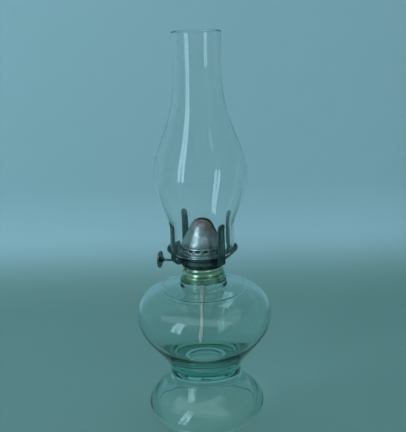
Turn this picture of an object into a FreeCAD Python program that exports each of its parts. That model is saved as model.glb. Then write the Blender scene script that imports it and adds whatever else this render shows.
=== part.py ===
"""Flat-wick kerosene table lamp: glass font, threaded burner, wick raiser, deflector and chimney.

Millimetres, +Z up. The origin is the middle of the ring that the foot stands on. The wick's width
and the raiser shaft lie along X, with the thumb wheel at -X. Every size is a cell of the sheet
"size"; places are worked out from those cells by the expressions below.
"""
import FreeCAD, Part
import os

import Sketcher

SIZES = {
    # Glass font: foot, waist, bowl and neck
    "foot_radius": 51.5,
    "foot_edge": 1.8,
    "foot_rim_height": 6,
    "foot_contact_width": 4,
    "foot_wall": 5,
    "foot_shoulder_height": 13,
    "foot_slope_radius": 34,
    "foot_slope_height": 24,
    "waist_radius": 28.5,
    "waist_height": 43.5,
    "reservoir_floor_rise": 3.5,
    "floor_thickness": 3.5,
    "reservoir_round": 6.5,
    "hollow_round": 8,
    "bowl_low_radius": 45.5,
    "bowl_low_height": 64.5,
    "bowl_radius": 59,
    "bowl_belly_height": 81,
    "bowl_shoulder_height": 106,
    "bowl_top_radius": 42,
    "bowl_top_height": 114.5,
    "bowl_wall": 3,
    "shoulder_radius": 36,
    "shoulder_height": 116,
    "shoulder_step": 0.7,
    "shoulder_rise": 2.2,
    "neck_ring_overhang": 1,
    "neck_ring_height": 5.1,
    "neck_bore": 13.8,
    "neck_wall": 2.4,
    "neck_length": 4,
    # Threaded brass collar and its plaster
    "plaster_wall": 1.7,
    "collar_wall": 0.8,
    "collar_band_height": 5.6,
    "collar_shoulder": 1,
    "collar_roll": 0.8,
    "collar_thread_height": 7.5,
    "thread_bore": 16.5,
    "thread_sheet": 0.6,
    "thread_depth": 0.75,
    "thread_crest": 0.9,
    "thread_flank": 0.85,
    "thread_pitch": 4.2,
    "thread_start_angle": 205,
    "thread_clearance": 0.3,
    "thread_root_sink": 0.15,
    # Burner shell
    "gasket_thickness": 0.8,
    "gasket_width": 1.4,
    "skirt_wall": 0.6,
    "skirt_reach": 8,
    "cup_radius": 17.3,
    "cup_wall": 0.5,
    "cup_floor": 0.5,
    "cup_height": 8.6,
    "rim_bead": 0.8,
    "rim_height": 1.8,
    "air_plate_thickness": 0.6,
    "air_plate_drop": 0.3,
    "air_hole_radius": 1.1,
    "air_hole_circle": 13.6,
    "air_hole_count": 16,
    # Flat wick and its tube
    "wick_width": 16,
    "wick_thickness": 2.5,
    "wick_tube_gap": 0.3,
    "wick_tube_wall": 0.6,
    "wick_tube_top": 165,
    "wick_tube_below_floor": 5,
    "wick_exposed": 4,
    "wick_straight_below": 6.4,
    "wick_twist_length": 9,
    "wick_tail": 53.5,
    "wick_twist": 72,
    "wick_kink": 0.8,
    "wick_lean": 4.5,
    # Wick raiser
    "shaft_radius": 1,
    "shaft_offset": 5.6,
    "shaft_above_floor": 2.1,
    "shaft_clearance": 0.05,
    "shaft_tail": 1.2,
    "bush_wall": 0.85,
    "bush_length": 3.8,
    "bush_inside": 0.9,
    "collar_ring_radius": 1.8,
    "collar_ring_length": 1.2,
    "thumb_wheel_reach": 36.3,
    "thumb_wheel_radius": 7.25,
    "thumb_wheel_thickness": 1.4,
    "thumb_wheel_notches": 24,
    "thumb_notch_radius": 0.45,
    "hub_radius": 2.2,
    "hub_length": 3.2,
    "feed_wheel_gap": 0.2,
    "feed_wheel_thickness": 0.8,
    "feed_tooth_height": 0.9,
    "feed_tooth_foot": 1,
    "feed_tooth_crest": 0.24,
    "feed_tooth_count": 14,
    "feed_wheel_spacing": 4.4,
    "slot_clearance": 0.3,
    # Chimney holder: band, two seats and the spring prongs
    "holder_sheet": 0.7,
    "holder_drop": 5.9,
    "holder_band_height": 2.6,
    "fit_gap": 0.05,
    "seat_gap": 0.3,
    "seat_half_angle": 30,
    "seat_run": 3.6,
    "seat_bend_run": 3.5,
    "seat_slope": 8.9,
    "prong_angle": 43,
    "prong_width": 7.5,
    "prong_tip_width": 6,
    "prong_height": 23.2,
    "prong_tip_height": 6.2,
    "prong_knee_height": 3.4,
    "prong_tip_flare": 2,
    "prong_shelf": 5.5,
    "rib_radius": 0.45,
    "rib_spacing": 1.9,
    "rivet_radius": 0.4,
    "rivet_head_radius": 0.65,
    "rivet_head": 0.5,
    "rivet_place": 0.9,
    # Deflector
    "deflector_sheet": 0.5,
    "spigot_depth": 1.4,
    "deflector_flange": 0.7,
    "deflector_flange_reach": 0.5,
    "deflector_band_radius": 17.2,
    "deflector_band_height": 7,
    "deflector_band_edge": 0.6,
    "deflector_band_inset": 0.4,
    "deflector_shoulder_radius": 17.2,
    "deflector_shoulder_height": 11,
    "deflector_side_radius": 12.4,
    "deflector_side_height": 16.5,
    "deflector_crown_radius": 9.8,
    "deflector_crown_height": 25,
    "deflector_top_radius": 6,
    "deflector_top_height": 29.6,
    "deflector_height": 29.4,
    "air_slit_length": 3.6,
    "air_slit_height": 2.1,
    "air_slit_place": 4.8,
    "air_slit_count": 16,
    "flame_slot_width": 5.5,
    "flame_slot_height": 18.7,
    # Chimney
    "chimney_base_radius": 27.3,
    "chimney_wall": 1.8,
    "chimney_collar_height": 19.5,
    "chimney_waist_radius": 25.5,
    "chimney_waist_height": 25.5,
    "chimney_belly_radius": 43.5,
    "chimney_belly_height": 59,
    "chimney_slope_radius": 33,
    "chimney_slope_height": 91.5,
    "chimney_throat_radius": 21.5,
    "chimney_throat_height": 117.5,
    "chimney_neck_radius": 18.5,
    "chimney_neck_height": 150,
    "chimney_mouth_radius": 19.5,
    "chimney_lip_height": 169.5,
    "chimney_height": 180,
}

# Places along Z
RESERVOIR_FLOOR = "(size.waist_height + size.reservoir_floor_rise)"
HOLLOW_TOP = f"({RESERVOIR_FLOOR} - size.floor_thickness)"
SHOULDER_TOP = "(size.shoulder_height + size.shoulder_step + size.shoulder_rise)"
COLLAR_BOTTOM = f"({SHOULDER_TOP} + size.neck_ring_height)"
NECK_TOP = f"({COLLAR_BOTTOM} + size.neck_length)"
BAND_TOP = f"({COLLAR_BOTTOM} + size.collar_band_height)"
COLLAR_TOP = f"({BAND_TOP} + size.collar_thread_height)"
CUP_BOTTOM = f"({COLLAR_TOP} + size.gasket_thickness)"
CUP_FLOOR_TOP = f"({CUP_BOTTOM} + size.cup_floor)"
CUP_TOP = f"({CUP_BOTTOM} + size.cup_height)"
TUBE_BOTTOM = f"({CUP_BOTTOM} - size.wick_tube_below_floor)"
RIM_TOP = f"({CUP_TOP} + size.rim_height)"
SHAFT_Z = f"({CUP_FLOOR_TOP} + size.shaft_above_floor)"
HOLDER_BOTTOM = f"({CUP_TOP} - size.holder_drop)"
HOLDER_TOP = f"({HOLDER_BOTTOM} + size.holder_band_height)"
RIVET_Z = f"({HOLDER_BOTTOM} + size.rivet_place)"

# Radii and half widths
NECK_OUTER = "(size.neck_bore + size.neck_wall)"
COLLAR_INNER = f"({NECK_OUTER} + size.plaster_wall)"
COLLAR_OUTER = f"({COLLAR_INNER} + size.collar_wall)"
SKIRT_OUTER = "(size.thread_bore - size.thread_clearance)"
GASKET_INNER = "size.thread_bore"
CUP_INNER = "(size.cup_radius - size.cup_wall)"
TUBE_INNER_X = "(size.wick_width / 2 + size.wick_tube_gap)"
TUBE_INNER_Y = "(size.wick_thickness / 2 + size.wick_tube_gap)"
TUBE_OUTER_X = f"({TUBE_INNER_X} + size.wick_tube_wall)"
TUBE_OUTER_Y = f"({TUBE_INNER_Y} + size.wick_tube_wall)"
FEED_RADIUS = "(size.shaft_offset - size.wick_thickness / 2 - size.feed_wheel_gap)"
BUSH_OUTER = "(size.shaft_radius + size.shaft_clearance + size.bush_wall)"
BUSH_HOLE = f"({BUSH_OUTER} + size.fit_gap)"
HOLDER_INNER = "(size.cup_radius + size.fit_gap)"
HOLDER_OUTER = f"({HOLDER_INNER} + size.holder_sheet)"
SHAFT_EXIT = "sqrt(size.cup_radius^2 - size.shaft_offset^2)"
PRONG_INNER = "(size.chimney_base_radius + size.seat_gap)"
PRONG_OUTER = f"({PRONG_INNER} + size.holder_sheet)"

# The chimney stands on the 45 degree slope of the two seats
SEAT_BEND = f"({HOLDER_OUTER} + size.seat_run - size.holder_sheet)"
CHIMNEY_BOTTOM = (f"({HOLDER_TOP} + size.chimney_base_radius - {SEAT_BEND}"
                  " + 1.4142 * size.seat_gap)")
DEFLECTOR_BOTTOM = RIM_TOP

# The thread's ridge starts this far up and turns with the pitch
THREAD_HALF = "(size.thread_crest / 2 + size.thread_flank)"
THREAD_START = f"({BAND_TOP} - size.collar_shoulder + {THREAD_HALF} + 0.1)"

# How far a feature starts inside the solid that it joins
SINK = "0.3"

# The feed wheels' places along the shaft, in spacings, and the prongs' places round Z
FEED_PLACES = ("-1.5", "-0.5", "0.5", "1.5")
PRONG_AZIMUTHS = {
    "front_right": "-size.prong_angle", "back_right": "size.prong_angle",
    "back_left": "180 - size.prong_angle", "front_left": "size.prong_angle - 180"}

doc = FreeCAD.newDocument("table_lamp")
sheet = doc.addObject("Spreadsheet::Sheet", "size")
made = []


def fill_sheet():
    """Write each size as a plain number with its name as the cell's alias."""
    for row, (name, value) in enumerate(SIZES.items(), 1):
        sheet.set(f"A{row}", name)
        sheet.set(f"B{row}", str(value))
        sheet.setAlias(f"B{row}", name)
    doc.recompute()


def number(expression):
    """The value that an expression has now, as a plain number."""
    value = sheet.evalExpression(expression.replace("size.", ""))
    return float(getattr(value, "Value", value))


def new_body(label):
    """A body that becomes one node, named by its label."""
    body = doc.addObject("PartDesign::Body", label)
    body.Label = label
    made.append(body)
    return body


def new_sketch(body, name, role="XZ_Plane"):
    """A sketch on one of the body's own origin planes."""
    sketch = body.newObject("Sketcher::SketchObject", f"{body.Name}_{name}")
    plane = [item for item in body.Origin.OriginFeatures if item.Role == role][0]
    sketch.AttachmentSupport = [(plane, "")]
    sketch.MapMode = "FlatFace"
    return sketch


def pin(sketch, geometry, point, x, y):
    """Bind one point of a sketch to two expressions; "0" lies on the axis."""
    for kind, axis, expression in (("DistanceX", -2, x), ("DistanceY", -1, y)):
        if expression == "0":
            sketch.addConstraint(Sketcher.Constraint("PointOnObject", geometry, point, axis))
            continue
        value = number(expression)
        index = sketch.addConstraint(Sketcher.Constraint(kind, -1, 1, geometry, point, value))
        sketch.setExpression(f"Constraints[{index}]", expression)


def add_curve(sketch, poles):
    """A spline held by its control points, each bound to expressions."""
    points = [FreeCAD.Vector(number(x), number(y), 0) for x, y in poles]
    degree = min(3, len(poles) - 1)
    spline = Part.BSplineCurve(points, None, None, False, degree, None, False)
    curve = sketch.addGeometry(spline)
    first = None
    for index, (x, y) in enumerate(poles):
        circle = sketch.addGeometry(Part.Circle(points[index], FreeCAD.Vector(0, 0, 1), 1), True)
        if first is None:
            first = circle
            sketch.addConstraint(Sketcher.Constraint("Radius", circle, 1.0))
        else:
            sketch.addConstraint(Sketcher.Constraint("Equal", first, circle))
        align = "InternalAlignment:Sketcher::BSplineControlPoint"
        sketch.addConstraint(Sketcher.Constraint(align, circle, 3, curve, index))
        if 0 < index < len(poles) - 1:
            pin(sketch, circle, 3, x, y)
    return curve


def draw_outline(sketch, steps):
    """A closed outline. A pair is a corner; a list of pairs between two corners bends the side."""
    corners = [step for step in steps if isinstance(step, tuple)]
    sides = []
    for index, step in enumerate(steps):
        if isinstance(step, list):
            continue
        following = steps[(index + 1) % len(steps)]
        inner = following if isinstance(following, list) else []
        sides.append(inner)
    edges = []
    for index, (start, inner) in enumerate(zip(corners, sides)):
        end = corners[(index + 1) % len(corners)]
        if inner:
            edges.append(add_curve(sketch, [start, *inner, end]))
            continue
        points = [FreeCAD.Vector(number(x), number(y), 0) for x, y in (start, end)]
        edges.append(sketch.addGeometry(Part.LineSegment(*points)))
    for index, edge in enumerate(edges):
        following = edges[(index + 1) % len(edges)]
        sketch.addConstraint(Sketcher.Constraint("Coincident", edge, 2, following, 1))
        pin(sketch, edge, 1, *corners[index])


def draw_box(sketch, x_low, x_high, y_low, y_high):
    """A rectangle between four expressions."""
    draw_outline(sketch, [(x_low, y_low), (x_high, y_low), (x_high, y_high), (x_low, y_high)])


def draw_circle(sketch, x, y, radius):
    """A circle whose middle and radius are expressions."""
    middle = FreeCAD.Vector(number(x), number(y), 0)
    circle = sketch.addGeometry(Part.Circle(middle, FreeCAD.Vector(0, 0, 1), number(radius)))
    index = sketch.addConstraint(Sketcher.Constraint("Radius", circle, number(radius)))
    sketch.setExpression(f"Constraints[{index}]", radius)
    pin(sketch, circle, 3, x, y)


def revolve(body, name, steps, groove=False):
    """Turn an outline of radius and height about Z."""
    sketch = new_sketch(body, f"{name}_outline")
    draw_outline(sketch, steps)
    kind = "PartDesign::Groove" if groove else "PartDesign::Revolution"
    feature = body.newObject(kind, f"{body.Name}_{name}")
    feature.Profile = sketch
    feature.ReferenceAxis = (sketch, ["V_Axis"])
    doc.recompute()
    return feature


def extrude(body, sketch, name, length, pocket=False, both=False, reverse=False):
    """Pad or pocket a sketch by an expression, to one side or to both."""
    kind = "PartDesign::Pocket" if pocket else "PartDesign::Pad"
    feature = body.newObject(kind, f"{body.Name}_{name}")
    feature.Profile = sketch
    feature.Type = "Length"
    feature.SideType = "Symmetric" if both else "One side"
    feature.Reversed = reverse
    feature.setExpression("Length", length)
    doc.recompute()
    return feature


def helix(body, name, steps, height, cut=False):
    """Carry an outline of radius and height up the thread's helix about Z."""
    sketch = new_sketch(body, f"{name}_outline")
    draw_outline(sketch, steps)
    kind = "PartDesign::SubtractiveHelix" if cut else "PartDesign::AdditiveHelix"
    feature = body.newObject(kind, f"{body.Name}_{name}")
    feature.Profile = sketch
    feature.ReferenceAxis = (sketch, ["V_Axis"])
    feature.Mode = "pitch-height-angle"
    feature.Angle = 0
    feature.Growth = 0
    feature.Reversed = False
    feature.LeftHanded = False
    feature.setExpression("Pitch", "size.thread_pitch")
    feature.setExpression("Height", height)
    doc.recompute()
    return feature


def repeat(body, feature, name, count):
    """Copy a feature evenly about Z."""
    pattern = body.newObject("PartDesign::PolarPattern", f"{body.Name}_{name}")
    pattern.Originals = [feature]
    pattern.Axis = (feature.Profile[0], ["V_Axis"])
    pattern.Angle = 360
    pattern.setExpression("Occurrences", count)
    body.Tip = pattern
    doc.recompute()
    return pattern


def turn(body, angle):
    """Turn a body about Z by an expression in degrees."""
    body.Placement = FreeCAD.Placement(FreeCAD.Vector(), FreeCAD.Rotation(FreeCAD.Vector(0, 0, 1), 1))
    body.setExpression("Placement.Rotation.Angle", f"({angle}) * 1deg")


def move(body, **places):
    """Bind the x, y or z of a body's place to expressions."""
    for axis, expression in places.items():
        body.setExpression(f"Placement.Base.{axis}", expression)


def font_glass():
    """Blown glass font: hollow foot, waist, bowl, shoulder and a neck for the collar."""
    body = new_body("font_glass")
    neck_ring = f"({COLLAR_OUTER} + size.neck_ring_overhang)"
    foot_inner = "(size.foot_radius - size.foot_edge - size.foot_contact_width)"
    steps = [
        ("size.foot_radius - size.foot_edge", "0"),
        [("size.foot_radius - 0.2", "1")],
        ("size.foot_radius", "size.foot_rim_height"),
        [("size.foot_radius - 0.5", "size.foot_shoulder_height"),
         ("size.foot_slope_radius", "size.foot_slope_height"),
         ("size.waist_radius", "size.waist_height"),
         ("size.bowl_low_radius", "size.bowl_low_height"),
         ("size.bowl_radius", "size.bowl_belly_height"),
         ("size.bowl_radius + 0.5", "size.bowl_shoulder_height"),
         ("size.bowl_top_radius", "size.bowl_top_height")],
        ("size.shoulder_radius", "size.shoulder_height"),
        ("size.shoulder_radius - size.shoulder_step", "size.shoulder_height + size.shoulder_step"),
        (neck_ring, SHOULDER_TOP),
        [(f"{neck_ring} + 0.3", f"{SHOULDER_TOP} + 0.6 * size.neck_ring_height"),
         (f"{neck_ring} - 0.1", COLLAR_BOTTOM)],
        (f"{COLLAR_OUTER} - 0.4", COLLAR_BOTTOM),
        (NECK_OUTER, COLLAR_BOTTOM),
        (NECK_OUTER, NECK_TOP),
        ("size.neck_bore", NECK_TOP),
        ("size.neck_bore", "size.shoulder_height + 1.2"),
        [("size.neck_bore", "size.shoulder_height - 0.5")],
        ("size.neck_bore + 3", "size.shoulder_height - 0.3 * size.bowl_wall"),
        ("size.shoulder_radius - size.shoulder_step", "size.shoulder_height - size.bowl_wall"),
        [("size.bowl_top_radius - 0.3 * size.bowl_wall", "size.bowl_top_height - size.bowl_wall"),
         ("size.bowl_radius + 0.5 - size.bowl_wall",
          "size.bowl_shoulder_height - 0.8 * size.bowl_wall"),
         ("size.bowl_radius - size.bowl_wall", "size.bowl_belly_height + 0.4 * size.bowl_wall"),
         ("size.bowl_low_radius - 0.8 * size.bowl_wall",
          "size.bowl_low_height + 0.6 * size.bowl_wall"),
         ("1.03 * size.waist_radius", f"{RESERVOIR_FLOOR} + size.reservoir_round"),
         ("0.5 * size.waist_radius", RESERVOIR_FLOOR)],
        ("0", RESERVOIR_FLOOR),
        ("0", HOLLOW_TOP),
        [("0.5 * size.waist_radius", HOLLOW_TOP),
         ("size.waist_radius - 0.5 * size.foot_wall", f"{HOLLOW_TOP} - size.hollow_round"),
         ("size.foot_slope_radius - size.foot_wall",
          "size.foot_slope_height - 0.6 * size.foot_wall"),
         (foot_inner, "size.foot_shoulder_height - 0.4 * size.foot_wall")],
        (f"{foot_inner} - 0.5", "2"),
        [(f"{foot_inner} - 0.3", "0.4")],
        (foot_inner, "0"),
    ]
    revolve(body, "glass", steps)


def collar():
    """Rolled brass collar: plain band over the plaster, thread above it."""
    body = new_body("collar")
    outer = "(size.thread_bore + size.thread_sheet)"
    revolve(body, "shell", [
        (COLLAR_INNER, COLLAR_BOTTOM), (COLLAR_OUTER, COLLAR_BOTTOM),
        (COLLAR_OUTER, f"{BAND_TOP} - size.collar_roll"),
        [(COLLAR_OUTER, BAND_TOP)],
        (f"{COLLAR_OUTER} - size.collar_roll", BAND_TOP),
        (outer, BAND_TOP), (outer, COLLAR_TOP), ("size.thread_bore", COLLAR_TOP),
        ("size.thread_bore", f"{BAND_TOP} - size.collar_shoulder"),
        (COLLAR_INNER, f"{BAND_TOP} - size.collar_shoulder")])
    start = THREAD_START
    helix(body, "ridge", thread_outline(outer, start, "0"), f"{COLLAR_TOP} - {start} + 1.2")
    below = f"({start} - size.thread_pitch)"
    helix(body, "furrow", thread_outline("size.thread_bore", below, "-0.15"),
          f"{COLLAR_TOP} - {below} + 1.8", cut=True)
    far = f"({outer} + size.thread_depth + 3)"
    revolve(body, "trim", [
        ("size.thread_bore - 3", COLLAR_TOP), (far, COLLAR_TOP),
        (far, f"{COLLAR_TOP} + 6"), ("size.thread_bore - 3", f"{COLLAR_TOP} + 6")], groove=True)
    turn(body, "size.thread_start_angle")


def thread_outline(radius, height, shrink):
    """The thread's section: a low trapezium on a cylinder, made slimmer by shrink."""
    root = f"({THREAD_HALF} - {shrink})"
    crest = f"(size.thread_crest / 2 - {shrink})"
    top = f"({radius} + size.thread_depth)"
    foot = f"({radius} - size.thread_root_sink)"
    return [(foot, f"{height} - {root}"), (top, f"{height} - {crest}"),
            (top, f"{height} + {crest}"), (foot, f"{height} + {root}")]


def collar_cement():
    """Plaster ring that holds the collar on the glass neck."""
    body = new_body("collar_cement")
    revolve(body, "plaster", [
        (NECK_OUTER, COLLAR_BOTTOM), (COLLAR_INNER, COLLAR_BOTTOM),
        (COLLAR_INNER, NECK_TOP), (NECK_OUTER, NECK_TOP)])


def burner_gasket():
    """Flat sealing ring between the collar and the burner."""
    body = new_body("burner_gasket")
    revolve(body, "ring", [
        (GASKET_INNER, COLLAR_TOP), (f"{GASKET_INNER} + size.gasket_width", COLLAR_TOP),
        (f"{GASKET_INNER} + size.gasket_width", CUP_BOTTOM), (GASKET_INNER, CUP_BOTTOM)])


def screw_skirt():
    """Threaded skirt under the cup, which screws into the collar."""
    body = new_body("screw_skirt")
    inner = f"({SKIRT_OUTER} - size.skirt_wall)"
    bottom = f"({COLLAR_TOP} - size.skirt_reach)"
    revolve(body, "tube", [
        (inner, bottom), (SKIRT_OUTER, bottom), (SKIRT_OUTER, CUP_BOTTOM), (inner, CUP_BOTTOM)])
    height = f"({COLLAR_TOP} - {THREAD_START} - {THREAD_HALF} + 0.25)"
    helix(body, "ridge", thread_outline(SKIRT_OUTER, THREAD_START, "0.25"), height)
    turn(body, "size.thread_start_angle")


def burner_cup():
    """Blackened cup with a rolled rim, open for the wick tube, the feed wheels and the shaft."""
    body = new_body("burner_cup")
    disc = f"({SKIRT_OUTER} - size.skirt_wall - 1)"
    bead = "(size.cup_radius + size.rim_bead)"
    revolve(body, "shell", [
        (disc, CUP_BOTTOM), ("size.cup_radius", CUP_BOTTOM),
        ("size.cup_radius", CUP_TOP),
        [(bead, CUP_TOP), (bead, RIM_TOP)],
        ("size.cup_radius", RIM_TOP), (CUP_INNER, RIM_TOP), (CUP_INNER, CUP_FLOOR_TOP),
        (disc, CUP_FLOOR_TOP)])
    floor = new_sketch(body, "floor_disc", "XY_Plane")
    draw_circle(floor, "0", "0", disc)
    side = f"({TUBE_OUTER_X} + size.fit_gap)"
    front = f"-(size.shaft_offset + {FEED_RADIUS} + size.slot_clearance)"
    draw_box(floor, f"-{side}", side, front, f"{TUBE_OUTER_Y} + size.fit_gap")
    floor.setExpression("AttachmentOffset.Base.z", CUP_BOTTOM)
    extrude(body, floor, "floor", "size.cup_floor")
    hole = new_sketch(body, "shaft_holes", "YZ_Plane")
    draw_circle(hole, "-size.shaft_offset", SHAFT_Z, BUSH_HOLE)
    extrude(body, hole, "bores", "3 * size.cup_radius", pocket=True, both=True)
    rivet_holes(body)


def air_plate():
    """Perforated plate in the cup that spreads the air round the wick tube."""
    body = new_body("air_plate")
    sketch = new_sketch(body, "disc", "XY_Plane")
    draw_circle(sketch, "0", "0", f"{CUP_INNER} - size.fit_gap")
    side = f"({TUBE_OUTER_X} + size.fit_gap)"
    deep = f"({TUBE_OUTER_Y} + size.fit_gap)"
    draw_box(sketch, f"-{side}", side, f"-{deep}", deep)
    sketch.setExpression("AttachmentOffset.Base.z",
                         f"{CUP_TOP} - size.air_plate_drop - size.air_plate_thickness")
    extrude(body, sketch, "plate", "size.air_plate_thickness")
    hole = new_sketch(body, "hole", "XY_Plane")
    half_step = "180deg / size.air_hole_count"
    draw_circle(hole, f"size.air_hole_circle * cos({half_step})",
                f"size.air_hole_circle * sin({half_step})", "size.air_hole_radius")
    cut = extrude(body, hole, "air_hole", f"2 * {RIM_TOP}", pocket=True, both=True)
    pattern = body.newObject("PartDesign::PolarPattern", "air_plate_holes")
    pattern.Originals = [cut]
    pattern.Axis = (hole, ["N_Axis"])
    pattern.Angle = 360
    pattern.setExpression("Occurrences", "size.air_hole_count")
    body.Tip = pattern
    doc.recompute()


def wick_tube():
    """Flat brass tube that guides the wick, slotted in front for the feed wheels."""
    body = new_body("wick_tube")
    sketch = new_sketch(body, "section", "XY_Plane")
    draw_box(sketch, f"-{TUBE_OUTER_X}", TUBE_OUTER_X, f"-{TUBE_OUTER_Y}", TUBE_OUTER_Y)
    draw_box(sketch, f"-{TUBE_INNER_X}", TUBE_INNER_X, f"-{TUBE_INNER_Y}", TUBE_INNER_Y)
    sketch.setExpression("AttachmentOffset.Base.z", TUBE_BOTTOM)
    extrude(body, sketch, "tube", f"size.wick_tube_top - {TUBE_BOTTOM}")
    slots = new_sketch(body, "slots")
    half = "(size.feed_wheel_thickness / 2 + size.slot_clearance)"
    reach = f"(sqrt({FEED_RADIUS}^2 - (size.shaft_offset - {TUBE_OUTER_Y})^2) + size.slot_clearance)"
    for place in FEED_PLACES:
        middle = f"({place}) * size.feed_wheel_spacing"
        draw_box(slots, f"{middle} - {half}", f"{middle} + {half}",
                 f"{SHAFT_Z} - {reach}", f"{SHAFT_Z} + {reach}")
    extrude(body, slots, "wheel_slots", "size.shaft_offset", pocket=True, reverse=True)


def wick():
    """Woven cotton wick: flat in the tube, a twist under it and a tail in the reservoir."""
    top = number("size.wick_tube_top + size.wick_exposed")
    straight = top - number(f"{TUBE_BOTTOM} - size.wick_straight_below")
    twist_length = number("size.wick_twist_length")
    tail = number("size.wick_tail")
    twist = number("size.wick_twist")
    kink = number("size.wick_kink")
    lean = number("size.wick_lean")
    half_width = number("size.wick_width") / 2
    half_thick = number("size.wick_thickness") / 2
    stations = [(top, 0, 0), (top - straight, 0, 0)]
    steps = 4
    for step in range(1, steps + 1):
        part = step / steps
        stations.append((top - straight - part * twist_length, part * twist, 0))
    twisted = top - straight - twist_length
    for part, bend in ((0.25, -kink), (0.55, kink), (1, 0)):
        stations.append((twisted - part * tail, twist, bend - part * lean))
    block = Part.makeBox(2 * half_width, 2 * half_thick, straight,
                         FreeCAD.Vector(-half_width, -half_thick, top - straight))
    wires = []
    for height, angle, shift in stations[1:]:
        corners = [(-half_width, -half_thick), (half_width, -half_thick),
                   (half_width, half_thick), (-half_width, half_thick)]
        wire = Part.makePolygon([FreeCAD.Vector(x, y, 0) for x, y in corners + corners[:1]])
        wire.rotate(FreeCAD.Vector(), FreeCAD.Vector(0, 0, 1), -angle)
        wire.translate(FreeCAD.Vector(shift, 0, height))
        wires.append(wire)
    ribbon = Part.makeLoft(wires, True, True)
    feature = doc.addObject("Part::Feature", "wick")
    feature.Label = "wick"
    feature.Shape = block.fuse(ribbon).removeSplitter()
    feature.Placement = FreeCAD.Placement()
    made.append(feature)


def raiser_shaft():
    """Steel shaft along X that carries the feed wheels and the thumb wheel."""
    body = new_body("raiser_shaft")
    left = "(size.thumb_wheel_reach + size.thumb_wheel_thickness)"
    sketch = new_sketch(body, "section", "YZ_Plane")
    draw_circle(sketch, "0", "0", "size.shaft_radius")
    sketch.setExpression("AttachmentOffset.Base.z", f"-{left}")
    extrude(body, sketch, "rod", f"{left} + {SHAFT_EXIT} + size.shaft_tail")
    move(body, y="-size.shaft_offset", z=SHAFT_Z)


def thumb_wheel():
    """Knurled thumb wheel with a hub on its inner side."""
    body = new_body("thumb_wheel")
    sketch = new_sketch(body, "disc", "YZ_Plane")
    draw_circle(sketch, "0", "0", "size.thumb_wheel_radius")
    draw_circle(sketch, "0", "0", "size.shaft_radius")
    extrude(body, sketch, "disc", "size.thumb_wheel_thickness", both=True)
    hub = new_sketch(body, "hub_section", "YZ_Plane")
    draw_circle(hub, "0", "0", "size.hub_radius")
    draw_circle(hub, "0", "0", "size.shaft_radius")
    extrude(body, hub, "hub", "size.hub_length")
    notch = new_sketch(body, "notch", "YZ_Plane")
    draw_circle(notch, "size.thumb_wheel_radius + 0.3 * size.thumb_notch_radius", "0",
                "size.thumb_notch_radius")
    cut = extrude(body, notch, "notch_cut", "2 * size.thumb_wheel_thickness", pocket=True, both=True)
    pattern = body.newObject("PartDesign::PolarPattern", "thumb_wheel_edge")
    pattern.Originals = [cut]
    pattern.Axis = (notch, ["N_Axis"])
    pattern.Angle = 360
    pattern.setExpression("Occurrences", "size.thumb_wheel_notches")
    body.Tip = pattern
    move(body, x="-size.thumb_wheel_reach", y="-size.shaft_offset", z=SHAFT_Z)
    doc.recompute()


def feed_wheels():
    """Toothed wheels on the shaft that drive the wick through the tube's slots."""
    for index, place in enumerate(FEED_PLACES, 1):
        body = new_body(f"feed_wheel_{index}")
        root = f"({FEED_RADIUS} - size.feed_tooth_height)"
        sketch = new_sketch(body, "disc", "YZ_Plane")
        draw_circle(sketch, "0", "0", root)
        draw_circle(sketch, "0", "0", "size.shaft_radius")
        extrude(body, sketch, "disc", "size.feed_wheel_thickness", both=True)
        tooth = new_sketch(body, "tooth_outline", "YZ_Plane")
        foot = "(size.feed_tooth_foot / 2)"
        crest = "(size.feed_tooth_crest / 2)"
        draw_outline(tooth, [(f"{root} - {SINK}", f"-{foot}"), (FEED_RADIUS, f"-{crest}"),
                             (FEED_RADIUS, crest), (f"{root} - {SINK}", foot)])
        pad = extrude(body, tooth, "tooth", "size.feed_wheel_thickness", both=True)
        pattern = body.newObject("PartDesign::PolarPattern", f"feed_wheel_{index}_teeth")
        pattern.Originals = [pad]
        pattern.Axis = (tooth, ["N_Axis"])
        pattern.Angle = 360
        pattern.setExpression("Occurrences", "size.feed_tooth_count")
        body.Tip = pattern
        move(body, x=f"({place}) * size.feed_wheel_spacing", y="-size.shaft_offset", z=SHAFT_Z)
        doc.recompute()


def tube_on_shaft(label, inner, outer, length, start):
    """A round sleeve about the raiser shaft, from start along +X."""
    body = new_body(label)
    sketch = new_sketch(body, "section", "YZ_Plane")
    draw_circle(sketch, "0", "0", outer)
    draw_circle(sketch, "0", "0", inner)
    extrude(body, sketch, "sleeve", length)
    move(body, x=start, y="-size.shaft_offset", z=SHAFT_Z)


def shaft_sleeves():
    """Two bushes in the cup's wall and a ring that keeps the shaft from sliding."""
    bore = "(size.shaft_radius + size.shaft_clearance)"
    inside = f"({SHAFT_EXIT} - size.cup_wall - size.bush_inside)"
    tube_on_shaft("shaft_bush_left", bore, BUSH_OUTER, "size.bush_length",
                  f"-{inside} - size.bush_length")
    tube_on_shaft("shaft_bush_right", bore, BUSH_OUTER,
                  f"{SHAFT_EXIT} + size.shaft_tail - {inside} - 0.3", inside)
    tube_on_shaft("shaft_ring", "size.shaft_radius", "size.collar_ring_radius",
                  "size.collar_ring_length", f"-{inside} + size.seat_gap")


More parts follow.
